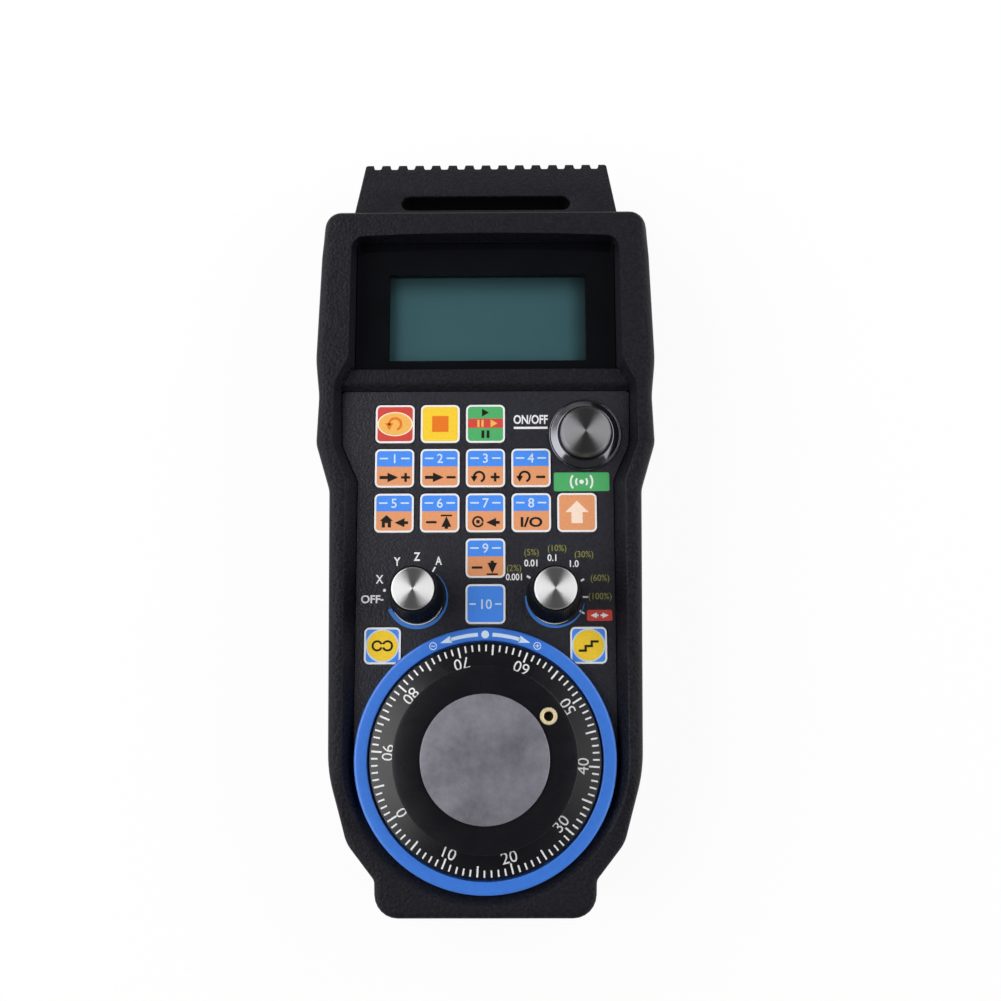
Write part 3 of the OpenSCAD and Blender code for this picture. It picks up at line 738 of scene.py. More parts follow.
# Ribbed top end: where it starts and ends, its half width there, and how much it narrows and falls.
CROWN_BASE = 148.9
CROWN_END = 167.3
CROWN_HALF = 36.9
CROWN_TAPER = 2.5
CROWN_FALL = 6.4
# Floor of the recess that the printed film lies in.
DECK = PANEL - 1.5
# Right-hand corners of the housing's outline, top to bottom, as (x, y, radius).
BODY = [(44.5, 148.9, 5), (45.9, 106, 30), (44.9, 96, 20), (45.4, 83, 7), (41.6, 70.3, 8), (40.4, -3, 40),
        (35.6, -21, 10), (28.3, -30.2, 2.5), (28, -39.5, 6)]
# Radii of the rim's crest and of its foot round the wheel, and how many parts each straight run has.
CREST_R = 36.9
FOOT_R = RING_R + 0.45
RUN_CUTS = 12
# Inner edge of the rim's crest and foot of its inner slope above the wheel, for the first corners of BODY.
CREST = [(36.6, 140.6, 3.5), (36.9, 106.5, 5), (40.8, 99.5, 5), (41.0, 83, 5), (37.3, 72.6, 6)]
FOOT = [(35.75, 140.9, 1.2), (35.8, 105, 2), (39.1, 98.6, 2), (38.7, 83, 2), (34.4, 73.2, 2)]


def inner_line(corners, radius):
    """Line inside BODY, point by point: round its corners, then down to the wheel's side and round it."""
    tail = [(radius, y, 0.5) for x, y, rounding in BODY[len(corners):]]
    last_x, last_y = corners[-1][:2]
    points = []
    for (x, y), drawn in zip(outline(BODY, cuts=RUN_CUTS), outline(corners + tail, cuts=RUN_CUTS)):
        if y > last_y - 8:
            points.append(drawn)
        elif y > 0:
            points.append((math.copysign(radius + (last_x - radius) * y / last_y, x), y))
        else:
            a = math.atan2(y, x)
            points.append((radius * math.cos(a), radius * math.sin(a)))
    return points


def shoulder_line(crest, inward):
    """BODY moved inward, and toward the crest where the rim narrows beside and below the wheel."""
    width = sizes().rim_width / MM
    points = []
    for (x, y), inset, edge in zip(outline(BODY, cuts=RUN_CUTS), outline(BODY, inward, cuts=RUN_CUTS), crest):
        gap = math.dist((x, y), edge)
        points.append(mixed((x, y), edge, inward / width * min(width / gap, 0.9)) if y < 5 else inset)
    return points


# Bosses round the screws of the housing's right side; the left side mirrors them.
BOSSES = ((38, 141.5), (39, 101), (34.8, 42), (23.5, -31.5))


def crest_height(y):
    """Height of the rim's crest, which is highest round the display and falls to the bottom end."""
    knots = [(-20, PANEL + 1), (-3, PANEL + 4.5), (97, PANEL + 4.5), (104, PANEL + 5)]
    if y <= knots[0][0]:
        return knots[0][1]
    for (y0, z0), (y1, z1) in zip(knots, knots[1:]):
        if y <= y1:
            t = (y - y0) / (y1 - y0)
            return z0 + (z1 - z0) * t * t * (3 - 2 * t)
    return knots[-1][1]


def crown_height(y):
    """Height of the ribbed top end's upper face, which slopes down to its edge."""
    return PANEL - 1.6 - CROWN_FALL * max(0.0, y - CROWN_BASE) / (CROWN_END - CROWN_BASE)


def crown_half_width(y):
    """Half width of the top end, which narrows toward its edge."""
    return CROWN_HALF - CROWN_TAPER * max(0.0, y - CROWN_BASE) / (CROWN_END - CROWN_BASE)


def slot_outline(grow=0.0):
    """Outline of the strap slot."""
    reach, radius, y = 21.4, 2.3 + grow, 153.6
    return arc(reach, y, radius, 90, -90, 10) + arc(-reach, y, radius, 270, 90, 10)


def crown_block():
    """Front half of the top end, with its ribs and slot cut."""
    low, softness = SPLIT, 0.45
    rings = []
    for y, inset in ((144, 0), (CROWN_BASE, 0), (160, 0), (CROWN_END - softness, 0),
                     (CROWN_END, softness * 0.8)):
        half, high = crown_half_width(y) - inset * 0.5, crown_height(y) - inset
        section = [(half, low)] + arc(half - softness, high - softness, softness, 0, 90, 4)
        section += arc(softness - half, high - softness, softness, 90, 180, 4) + [(-half, low)]
        rings.append([(x, y, z) for x, z in section])
    block = loft(rings)
    notch = [(1.36, 0.6), (1.26, 0), (1.0, -1.25), (0.75, -1.6)]
    notch += [(-u, v) for u, v in reversed(notch)]
    tools = []
    for k in range(-7, 7):
        x = (k + 0.5) * (sizes().rib_pitch / MM)
        tools.append(plate(moved(notch, x, CROWN_END), low - 2, PANEL + 6))
    mouth = [[(x, y, crown_height(y) + lift) for x, y in slot_outline(grow)]
             for grow, lift in ((0.0, -0.6), (0.08, -0.3), (0.25, -0.06), (0.55, 0.08), (0.9, 0.6))]
    tools.append(loft([level(slot_outline(), low - 2)] + mouth))
    combined(block, [joined(tools)], "DIFFERENCE")
    pick(block)
    change = block.modifiers.new("edges", "BEVEL")
    change.width = 0.14 * MM
    change.segments = 2
    change.limit_method = "ANGLE"
    change.angle_limit = math.radians(50)
    bpy.ops.object.modifier_apply(modifier=change.name)
    return block


# Power that makes the shoulder fuller than an ellipse.
SHOULDER_FULLNESS = 0.5


def shoulder_rise(y, turn):
    """Share of the shoulder's height at a turn of its curve; it stays lower along the top end."""
    top_end = min(max((y - 136) / 8, 0.0), 1.0)
    return math.sin(turn) ** (SHOULDER_FULLNESS + 1.1 * top_end)


def front_skin():
    """Front half: wall, rounded shoulder, crest and inner slope drawn as one skin, closed by the deck."""
    wall = 2.4
    shoulder = PANEL - 1
    width = sizes().rim_width / MM
    crest = [(x, y + (0.9 * (1 - (x / 36) ** 2) if y > 140 else 0)) for x, y in inner_line(CREST, CREST_R)]
    body, inner, lip = (outline(BODY, inward, cuts=RUN_CUTS) for inward in (0, wall, 0.3))
    rings = [level(inner, DECK - 2.2), level(inner, SPLIT), level(lip, SPLIT), level(body, SPLIT + 0.35),
             level(body, shoulder)]
    for k in range(1, 8):
        turn = math.radians(90 * k / 7)
        edge = shoulder_line(crest, width * (1 - math.cos(turn) ** SHOULDER_FULLNESS))
        rings.append([(x, y, shoulder + (crest_height(y) - shoulder) * shoulder_rise(y, turn))
                      for x, y in edge])
    foot = inner_line(FOOT, FOOT_R)
    for share, drop in ((0, 0), (0.07, 0.02), (0.15, 0.08), (0.24, 0.17), (0.98, 0.93), (1, 1)):
        ring = []
        for (x0, y0), (x1, y1) in zip(crest, foot):
            high, low = crest_height(y0), PANEL - 0.35
            ring.append((x0 + (x1 - x0) * share, y0 + (y1 - y0) * share, high + (low - high) * drop))
        rings.append(ring)
    rings.append(level(foot, DECK))
    return loft(rings)


def cross_bar():
    """Bar between the display and the key panel, with a sloping front."""
    profile = softened([(98.0, DECK - 1), (98.0, PANEL - 0.35, 0.2), (100.0, PANEL + 1.5, 0.9),
                        (103.9, PANEL + 1.5, 0.4), (104.2, WINDOW_TOP - 1.4)], 3)
    return loft([[(x, y, z) for y, z in profile] for x in (-42, 42)])


class PENDANT_OT_front_housing(bpy.types.Operator):
    """Models the front half of the housing"""
    bl_idname = "pendant.front_housing"
    bl_label = "Front housing"

    def execute(self, context):
        skin = front_skin()
        bosses = self.at_bosses([(3.2, SPLIT + 0.01), (3.2, DECK - 2)], 24)
        combined(skin, [crown_block(), cross_bar(), joined(bosses)], "UNION")
        _, y0, _, x1, y1, _ = extent("display_window")
        tools = [plate(box_line(x1 + 0.15, y0 - 0.15, y1 + 0.15), WINDOW_TOP - 1.52, WINDOW_TOP + 0.02)]
        _, y0, _, x1, y1, _ = extent("lcd_frame")
        tools.append(plate(box_line(x1 + 0.2, y0 - 0.2, y1 + 0.2), SPLIT, WINDOW_TOP - 1))
        holes = [(0, 0, 10), (*plan("axis_cap"), 3.6), (*plan("step_cap"), 3.6), (*plan("power_cap"), 8.1)]
        rounds = [turned(x, y, [(r, SPLIT), (r, PANEL + 2)], 48) for x, y, r in holes]
        rounds += self.at_bosses([(1.32, SPLIT - 1), (1.32, SPLIT + 8)], 16)
        combined(skin, [*tools, joined(rounds)], "DIFFERENCE")
        place_piece(skin, "moulded_front", "body", "pebbled_abs", ["front_housing"],
                    smooth=28)
        # The strap slot gets a dark sleeve as painted shade.
        self.slot_sleeve()
        return {"FINISHED"}

    def at_bosses(self, profile, sides):
        return [turned(side * x, y, profile, sides) for x, y in BOSSES for side in (-1, 1)]

    def slot_sleeve(self):
        """Thin dark sleeve that lines the strap slot: painted shade that darkens the slot's walls."""
        low, outer, inner = 2.5, slot_outline(-0.01), slot_outline(-0.16)
        tops = [[(x, y, crown_height(y) - drop) for x, y in line]
                for line, drop in ((outer, 0.9), (inner, 1.0))]
        sleeve = loft([level(outer, low), *tops, level(inner, low), level(outer, low)], closed=True)
        place_piece(sleeve, "slot_sleeve", "body", "painted_shade_black", smooth=30)


class PENDANT_OT_rear_housing(bpy.types.Operator):
    """Smooths the rear half of the housing, models its battery door and finishes its screws and seal"""
    bl_idname = "pendant.rear_housing"
    bl_label = "Rear housing"

    def execute(self, context):
        rear = copied("rear_housing")
        place_piece(rear, "moulded_rear", "body", "pebbled_abs", ["rear_housing"], smooth=32)
        dress("steel", "housing_screws")
        dress("rubber", "housing_seal")
        self.battery_door()
        return {"FINISHED"}

    def battery_door(self):
        """Door with a thumb grip of ridges and a shallow edge round it."""
        _, y0, z0, x1, y1, z1 = extent("battery_door")
        full = rounded_box(x1, y0, y1, 0.6, 0, 4)
        foot = rounded_box(x1, y0, y1, 0.6, 0.35, 4)
        door = loft([level(foot, z0), level(full, z0 + 0.35), level(full, z0 + 1.8)])
        ribs = []
        for k in range(7):
            y, half = y0 + 6 + k * 1.7, 9 - abs(k - 3) * 0.8
            ribs.append(plate(rounded_box(half, y - 0.45, y + 0.45, 0.4), z0 - 0.5, z0 + 0.45))
        combined(door, ribs, "DIFFERENCE")
        hooks = [plate([(side * 26.2 + x, y) for x, y in box_line(1.2, y0 + 3.2, y0 + 4.6)], z0 + 1, z1)
                 for side in (-1, 1)]
        combined(door, hooks, "UNION")
        place_piece(door, "moulded_door", "battery_cover", "smooth_abs", ["battery_door"])


# ---------------- keys


def key_body(node):
    """Body that a key's node belongs to."""
    word = node.removeprefix("key_")
    return f"{node}_pad" if word.isdigit() else f"{word}_key"


def arrow(x, y, length, width, turn):
    """Outline of a straight arrow whose tip points along turn, in degrees from +X."""
    half, head = length / 2, width * 1.1
    side = [(-half, 0.16 * width), (half - head, 0.16 * width), (half - head, 0.5 * width)]
    return moved([*side, (half, 0), *((u, -v) for u, v in reversed(side))], x, y, turn)


def bar(x, y, width, height, turn=0.0):
    """Outline of a straight mark whose width points along turn, in degrees from +X."""
    a, b = width / 2, height / 2
    return moved([(-a, b), (a, b), (a, -b), (-a, -b)], x, y, turn)


def plus(x, y, size, thick):
    a, b = size / 2, thick / 2
    return moved([(-b, a), (b, a), (b, b), (a, b), (a, -b), (b, -b), (b, -a), (-b, -a), (-b, -b), (-a, -b),
                  (-a, b), (-b, b)], x, y)


def triangle(x, y, size, turn):
    return moved(arc(0, 0, size, turn + 240, turn, 2), x, y)


def house(x, y, size):
    side = [(0.55, 0.05), (0.38, 0.05), (0.38, -0.5), (0.12, -0.5), (0.12, -0.12)]
    shape = [(0, 0.55), *side, *((-u, v) for u, v in reversed(side))]
    return [(x + u * size, y + v * size) for u, v in shape]


def part_ring(x, y, radius, thick, start, end, steps=20):
    """Band along part of a circle."""
    return arc(x, y, radius + thick / 2, end, start, steps) + arc(x, y, radius - thick / 2, start, end, steps)


def key_square(node):
    """Half width of a key and its centre in the frame; the ring cuts a corner off the two side keys."""
    low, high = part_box(node)
    half = (high.x - low.x) / 2
    return half, Vector(((low.x + high.x) / 2, high.y - half, high.z))


def key_centre(node):
    """Centre of a key in millimetres from the wheel's axis."""
    offset = (key_square(node)[1] - WHEEL) / MM
    return offset.x, offset.y


def key_face(node, *fields):
    """Raised pad with a white line round it and fields, from top to bottom, as (finish, share)."""
    half, centre = key_square(node)
    inner, slack = half - sizes().key_border, 1e-6
    edges = [centre.y + inner]
    for tone, share in fields:
        edges.append(edges[-1] - 2 * inner * share)

    def inside(face):
        return all(abs(v.co.x - centre.x) < inner + slack and abs(v.co.y - centre.y) < inner + slack
                   for v in face.verts)

    clear_selection()
    bpy.ops.mesh.primitive_plane_add(size=2 * half, location=centre)
    obj = bpy.context.object
    bpy.ops.object.transform_apply(location=True, rotation=True, scale=True)
    for tone in ("white_ink", *(tone for tone, share in fields)):
        obj.data.materials.append(finish(tone))
    bpy.ops.object.mode_set(mode="EDIT")
    bpy.ops.mesh.select_mode(type="VERT")
    bpy.ops.mesh.select_all(action="SELECT")
    bpy.ops.mesh.bevel(offset=sizes().key_corner, segments=6, affect="VERTICES")
    bpy.ops.mesh.select_mode(type="FACE")
    bpy.ops.mesh.select_all(action="SELECT")
    bpy.ops.mesh.inset(thickness=sizes().key_border)
    for cut in edges[1:-1]:
        mesh = bmesh.from_edit_mesh(obj.data)
        for face in mesh.faces:
            face.select = inside(face)
        bmesh.update_edit_mesh(obj.data)
        bpy.ops.mesh.bisect(plane_co=(0, cut, 0), plane_no=(0, 1, 0))
    mesh = bmesh.from_edit_mesh(obj.data)
    for face in mesh.faces:
        y = face.calc_center_median().y
        face.material_index = 0
        for k, (above, below) in enumerate(zip(edges, edges[1:])):
            if inside(face) and below < y < above:
                face.material_index = k + 1
    bmesh.update_edit_mesh(obj.data)
    bpy.ops.mesh.select_all(action="SELECT")
    low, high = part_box(node)
    bpy.ops.mesh.extrude_region_move(TRANSFORM_OT_translate={"value": (0, 0, low.z - high.z)})
    bpy.ops.mesh.select_all(action="SELECT")
    bpy.ops.mesh.normals_make_consistent(inside=False)
    bpy.ops.object.mode_set(mode="OBJECT")
    if node in ("key_continuous", "key_step"):
        combined(obj, [turned(0, 0, [(RING_R + 0.4, 20), (RING_R + 0.4, 32)], 128)], "DIFFERENCE")
    place_piece(obj, f"{node}_face", key_body(node), replaces=[node], smooth=0)


def key_print(node, name, tone, shapes, layer=0):
    """Print on a key, over as many layers of print as lie under it."""
    low = KEY_TOP + layer * sizes().print_height / MM
    printed(f"{node}_{name}", key_body(node), tone, shapes, low)


def turn_arrow(x, y, radius, thick):
    """Open ring with an arrowhead: the sign for turning."""
    return [part_ring(x, y, radius, thick, -70, 190),
            triangle(x - radius, y - 0.25 * radius, 0.8 * radius, 270)]


def numbered_symbol(number, x, y):
    """Black sign in the lower field of a numbered key."""
    if number in (1, 2, 3, 4):
        moves = [arrow(x - 1.5, y, 5, 2.6, 0)] if number < 3 else turn_arrow(x - 1.7, y + 0.1, 1.35, 0.6)
        sign_x = x + (3 if number < 3 else 2.6)
        return [*moves, plus(sign_x, y, 2.4, 0.65) if number % 2 else bar(sign_x, y, 2.4, 0.65)]
    if number in (6, 9):
        way = 1 if number == 6 else -1
        return [bar(x - 2.2, y, 2.8, 0.6), arrow(x + 1.8, y - way * 0.1, 3.4, 2.6, way * 90 % 360),
                bar(x + 1.8, y + way * 1.8, 3, 0.45)]
    if number == 8:
        return [words("I/O", 2.5, x, y, KEY_TOP, weight=0.1, squeeze=1.25)]
    goal = [house(x - 2, y + 0.2, 3.2)] if number == 5 else [part_ring(x - 2, y + 0.1, 1.3, 0.5, 0, 350),
                                                             bar(x - 2, y + 0.1, 0.9, 0.9)]
    return [*goal, arrow(x + 2, y - 0.1, 3.6, 2.4, 180)]


class PENDANT_OT_keys(bpy.types.Operator):
    """Models the sixteen keys with their printed fields and marks"""
    bl_idname = "pendant.keys"
    bl_label = "Keys"

    def execute(self, context):
        for number in range(1, 10):
            node = f"key_{number}"
            x, y = plan(node)
            key_face(node, ("blue_ink", 0.45), ("orange_ink", 0.55))
            key_print(node, "marks_1", "pale_ink", self.dashed(number, x, y + 2.7, 2.9, 2.3))
            key_print(node, "marks_2", "black_ink", numbered_symbol(number, x, y - 2.5))
        key_face("key_10", ("blue_ink", 1))
        key_print("key_10", "marks_1", "pale_ink", self.dashed(10, *plan("key_10"), 3.4, 1.7))
        key_face("key_function", ("orange_ink", 1))
        half = [(0, 3.2), (3.1, 0.1), (1.5, 0.1), (1.5, -2.9)]
        shift = half + [(-u, v) for u, v in reversed(half[1:])]
        key_print("key_function", "marks_1", "pale_peach_ink", [moved(shift, *plan("key_function"))])
        self.top_row()
        self.side_keys()
        return {"FINISHED"}

    def dashed(self, number, x, y, reach, dash):
        """Number between two dashes."""
        return [words(str(number), 2.5, x, y, KEY_TOP, weight=0.03), bar(x - reach, y, dash, 0.42),
                bar(x + reach, y, dash, 0.42)]

    def top_row(self):
        x, y = plan("key_reset")
        key_face("key_reset", ("red_ink", 1))
        for name, tone, radius, layer in (("marks_1", "pale_amber_ink", 4.55, 0),
                                          ("oval", "amber_ink", 4.15, 1)):
            oval = [(x + u * 1.06, y + v * 0.74) for u, v in dot(0, 0, radius, 32)]
            key_print("key_reset", name, tone, [oval], layer)
        key_print("key_reset", "arrow", "deep_orange_ink", turn_arrow(x, y, 1.6, 0.65), 2)
        key_face("key_stop", ("yellow_ink", 1))
        key_print("key_stop", "marks_1", "deep_orange_ink", [bar(*plan("key_stop"), 4.4, 4.4)])
        x, y = plan("key_start")
        key_face("key_start", ("green_ink", 0.35), ("red_ink", 0.27), ("green_ink", 0.38))
        key_print("key_start", "marks_1", "black_ink", [
            triangle(x - 0.3, y + 3.1, 1.25, 0), *(bar(x + u, y - 2.9, 0.75, 2.1) for u in (-0.7, 0.7))])
        key_print("key_start", "marks_2", "amber_ink", [
            bar(x - 1.9, y + 0.1, 0.6, 2), bar(x - 0.8, y + 0.1, 0.6, 2), triangle(x + 2, y + 0.1, 1.25, 0)])

    def side_keys(self):
        stairs = [(-2.6, -1.7), (-2.6, -1.1), (-1.1, -1.1), (-1.1, 0.1), (0.5, 0.1), (0.5, 1.3), (2.6, 1.3),
                  (2.6, 0.7), (1.1, 0.7), (1.1, -0.5), (-0.5, -0.5), (-0.5, -1.7)]
        for node in ("key_continuous", "key_step"):
            x, y = key_centre(node)
            key_face(node, ("blue_ink", 1))
            key_print(node, "marks_1", "pale_ink", [dot(x, y, 4.35, 48)])
            key_print(node, "disc", "yellow_ink", [dot(x, y, 4.0, 48)], 1)
            loops = [part_ring(x + side * 1.35, y, 1.2, 0.55, start, start + 320)
                     for side, start in ((-1, 20), (1, 200))]
            sign = loops if node == "key_continuous" else [moved(stairs, x, y)]
            key_print(node, "sign", "black_ink", sign, 2)


# ---------------- panel and display

# Centres of the selectors' printed scales and of the two plates.
AXIS_DIAL = (-18.05, 41.75)
STEP_DIAL = (18.35, 41.65)
GREEN_PLATE = (25.72, 72.85)
RED_PLATE = (30, 37.05)


def crescent(x, y, inner, start, end, widths, steps=40):
    """Band round part of a circle whose width changes through the listed values, from start to end."""
    outer = []
    for k in range(steps + 1):
        place = k / steps * (len(widths) - 1)
        j = min(int(place), len(widths) - 2)
        radius = inner + widths[j] + (widths[j + 1] - widths[j]) * (place - j)
        a = math.radians(start + (end - start) * k / steps)
        outer.append((x + radius * math.cos(a), y + radius * math.sin(a)))
    return outer + arc(x, y, inner, end, start, steps)


# Clear part of the display window, measured from the wheel's centre.
VIEW_X, VIEW_Y = 0.5, 119.45
VIEW_HALF_X, VIEW_HALF_Y = 27.3, 12.45


class PENDANT_OT_key_panel(bpy.types.Operator):
    """Prints the key panel: knob scales, arcs, underline and plates"""
    bl_idname = "pendant.key_panel"
    bl_label = "Key panel"

    def execute(self, context):
        dress("printed_film", "key_overlay")
        self.on_panel("white_marks", "white_ink", self.white_marks())
        shares = (("(2%)", 7.55, 49.7), ("(5%)", 12.2, 53.9), ("(10%)", 19, 55), ("(30%)", 26.1, 53.3),
                  ("(60%)", 30.25, 47), ("(100%)", 30.2, 42.15))
        self.on_panel("percent_marks", "olive_ink",
                      [words(text, 1.7, x, y, PANEL, squeeze=0.92) for text, x, y in shares])
        self.on_panel("blue_arcs", "arc_ink", [
            crescent(*AXIS_DIAL, 8.2, 52, -158, (-0.1, -0.35, -0.55, -0.8, -1.0, -1.1, -1.0)),
            crescent(*STEP_DIAL, 7.9, -10, -185, (-0.15, -0.4, -0.65, -0.85, -0.85, -0.5))])
        for tone, half, high, place in (("green", 7.425, 2.55, GREEN_PLATE), ("red", 3.325, 1.45, RED_PLATE)):
            shape = moved(rounded_box(half, -high, high, 0.5, 0, 4), *place)
            self.on_panel(f"{tone}_plate", f"{tone}_ink", [shape])
        signs = [part_ring(*GREEN_PLATE, r, 0.5, a, a + 76, 8) for r in (1.5, 2.9) for a in (-38, 142)]
        signs.append(dot(*GREEN_PLATE, 0.6, 16))
        x, y = RED_PLATE
        signs += [arrow(x - 1.1, y, 2.6, 1.5, 180), arrow(x + 1.1, y, 2.6, 1.5, 0)]
        self.on_panel("plate_signs", "white_ink", signs, PANEL + sizes().print_height / MM)
        return {"FINISHED"}

    def on_panel(self, name, tone, shapes, low=PANEL):
        printed(f"panel_{name}", "body", tone, shapes, low)

    def white_marks(self):
        shapes = [words("ON/OFF", 2.35, 12.2, 90.1, PANEL, weight=0.08, squeeze=0.76),
                  bar(12.2, 87.75, 9.1, 0.6)]
        # Text, height of a capital, place and width against height.
        for text, size, x, y, squeeze in (
                ("OFF", 2.05, -30.3, 41.5, 1), ("X", 2.2, -28, 46.8, 0.8), ("Y", 2.2, -23.4, 51.5, 0.82),
                ("Z", 2.2, -18.15, 52.8, 0.76), ("A", 2.2, -12.4, 51.7, 0.74),
                ("0.001", 1.75, 7.7, 47.3, 0.84), ("0.01", 1.75, 12.2, 51, 0.92),
                ("0.1", 1.75, 17.8, 52.4, 0.92), ("1.0", 1.75, 23.3, 50.8, 0.92)):
            shapes.append(words(text, size, x, y, PANEL, weight=0.07 if size > 2 else 0.045, squeeze=squeeze))
        shapes.append(dot(-26.65, 43.8, 0.4, 16))
        shapes += [bar(*tick) for tick in (
            (-27.3, 41.3, 0.8, 0.4), (-13.65, 49.35, 1.5, 0.45, 62), (11.4, 47.25, 1.1, 0.55, -30),
            (25.6, 46.4, 1.0, 0.5, 32), (26.35, 41.9, 1.4, 0.42), (25.4, 37.9, 1.5, 0.45, -32))]
        shapes.append(crescent(*AXIS_DIAL, 6.88, 10, -148, (0.05, 0.15, 0.26, 0.27, 0.25, 0.12)))
        shapes.append(crescent(*STEP_DIAL, 6.7, -60, -172, (0.05, 0.2, 0.26, 0.25, 0.1)))
        return shapes


class PENDANT_OT_display(bpy.types.Operator):
    """Models the display window with its printed border, and the tin frame under it"""
    bl_idname = "pendant.display"
    bl_label = "Display"

    def execute(self, context):
        _, y0, _, x1, y1, _ = extent("display_window")
        edge = level(rounded_box(x1, y0, y1, 0.8), WINDOW_TOP - 0.12)
        shallow = level(rounded_box(x1, y0, y1, 0.8, 0.12), WINDOW_TOP)
        seen = self.view(0, VIEW_Y - VIEW_HALF_Y, 0.8)
        self.frame_round(seen, WINDOW_TOP - 1.5, WINDOW_TOP, [edge, shallow], "window_border",
                         "window_acrylic", "black_border", "display_window")
        place_piece(plate(seen, WINDOW_TOP - 1.5, WINDOW_TOP), "window_pane", "body",
                    "clear_acrylic", smooth=0)
        _, y0, _, x1, y1, z1 = extent("lcd_frame")
        glass = extent("lcd_glass")
        seen = self.view(0.3, glass[1] + 0.1, 0.4)
        edge = level(rounded_box(x1, y0, y1, 0.8), z1)
        self.frame_round(seen, glass[5] + 0.02, z1, [edge], "display_bezel", "lcd_tin", "dark_tin",
                         "lcd_frame")
        return {"FINISHED"}

    def view(self, inward, bottom, rounding):
        """Outline of the clear part, moved inward at its sides, with its own bottom line."""
        return moved(rounded_box(VIEW_HALF_X - inward, bottom, VIEW_Y + VIEW_HALF_Y, rounding), VIEW_X, 0)

    def frame_round(self, seen, floor, face, edges, name, slot, tone, node):
        """Flat frame between its outer edge, drawn from the floor up, and the opening."""
        foot = level([point[:2] for point in edges[0]], floor)
        ring = loft([foot, *edges, level(seen, face), level(seen, floor), foot], closed=True)
        place_piece(ring, name, "body", tone, [node])


# ---------------- knobs, power button and wheel

def ribbed(x, y, profile, ribs, closed=False):
    """Solid of revolution whose profile (radius, height, rib depth) carries fine upright ribs."""
    count = 4 * ribs
    rings = []
    for radius, height, depth in profile:
        ring = []
        for k in range(count):
            a = 2 * math.pi * k / count
            r = max(radius - (depth if k % 4 > 1 else 0), LEAST_R)
            ring.append((x + r * math.cos(a), y + r * math.sin(a), height))
        rings.append(ring)
    return closed_up(rings, closed)


class PENDANT_OT_selectors(bpy.types.Operator):
    """Models the two selector knobs with their ribs and spun caps"""
    bl_idname = "pendant.selectors"
    bl_label = "Selector knobs"

    def execute(self, context):
        for kind in ("axis", "step"):
            self.selector(kind, f"{kind}_selector")
        dress("steel", "axis_shaft", "step_shaft")
        return {"FINISHED"}

    def selector(self, kind, body):
        x, y = plan(f"{kind}_cap")
        base = bottom_of(f"{kind}_knob")
        cap_r, top = half_width(f"{kind}_cap"), top_of(f"{kind}_cap")
        seat = bottom_of(f"{kind}_cap") - 0.02
        rim = seat + 0.8
        profile = [(0, rim - 4, 0), (3.03, rim - 4, 0), (3.03, base + 2.4, 0), (6, base + 2.4, 0),
                   (6, base, 0), (7.05, base, 0), (7.25, base + 0.2, 0), (7.25, base + 0.7, 0),
                   (7.1, base + 0.95, 0), (7.08, base + 1.1, 0.38), (6.2, rim - 1.7, 0.34),
                   (6.12, rim - 1.25, 0.05), (6.08, rim - 1, 0), (6.0, rim - 0.45, 0), (5.88, rim - 0.15, 0),
                   (5.7, rim, 0), (cap_r + 0.08, rim, 0), (cap_r + 0.04, rim - 0.06, 0),
                   (cap_r + 0.04, seat, 0), (0, seat, 0)]
        knob = ribbed(x, y, profile, sizes().knob_ribs)
        place_piece(knob, f"{kind}_grip", body, "phenolic", [f"{kind}_knob"], smooth=30)
        face = [(0, seat + 0.02), (cap_r, seat + 0.02), (cap_r, top - 0.3), (cap_r - 0.12, top - 0.1),
                (cap_r - 0.3, top - 0.02), (cap_r - 0.45, top), (0, top)]
        place_piece(turned(x, y, face), f"{kind}_disc", body, f"{kind}_spun",
                    [f"{kind}_cap"], smooth=30)


class PENDANT_OT_power_button(bpy.types.Operator):
    """Models the metal push button, its bezel and its spring"""
    bl_idname = "pendant.power_button"
    bl_label = "Power button"

    def execute(self, context):
        x, y = plan("power_cap")
        low, top = bottom_of("power_bezel"), top_of("power_bezel")
        bezel_r, bore = half_width("power_bezel"), half_width("power_cap") + 0.06
        barrel, floor = 8.0, 22.0
        profile = softened([(bore, floor), (2.56, floor), (2.56, floor - 1.5), (barrel - 1.5, floor - 1.5),
                            (barrel - 1.5, low), (barrel, low), (barrel, PANEL), (bezel_r, PANEL),
                            (bezel_r, PANEL + 0.55, 0.15), (bezel_r - 0.25, PANEL + 0.8, 0.1),
                            (bezel_r - 0.6, PANEL + 0.8, 0.1), (bezel_r - 2.3, top, 0.2),
                            (bore + 0.2, top, 0.15), (bore + 0.05, top - 0.4, 0.1), (bore, floor + 1)])
        bezel = turned(x, y, profile, 128, closed=True)
        place_piece(bezel, "button_bezel", "body", "bright_chrome", ["power_bezel"],
                    smooth=32)
        cap_r, cap_low = bore - 0.06, floor + 3.05
        foot, rise = bottom_of("power_cap"), top_of("power_cap")
        face = softened([(0, foot), (2.5, foot), (2.5, cap_low), (cap_r, cap_low), (cap_r, rise - 0.75, 0.15),
                         (cap_r - 0.6, rise, 0.1), (0, rise)], 2)
        place_piece(turned(x, y, face, 128), "button_cap", "power_button", "power_spun",
                    ["power_cap"], smooth=28)
        self.spring(x, y)
        dress("steel", "power_nut")
        dress("nylon", "power_contacts")
        return {"FINISHED"}

    def spring(self, x, y):
        """Spring under the cap, copied from its node and given a mesh of its own; its length stays the same.
        """
        spring = place_piece(copied("power_spring"), "button_spring", "body", "steel",
                             ["power_spring"], smooth=40)
        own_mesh(spring)


def polar(radius, degrees):
    """Point round the wheel's axis."""
    a = math.radians(degrees)
    return radius * math.cos(a), radius * math.sin(a)


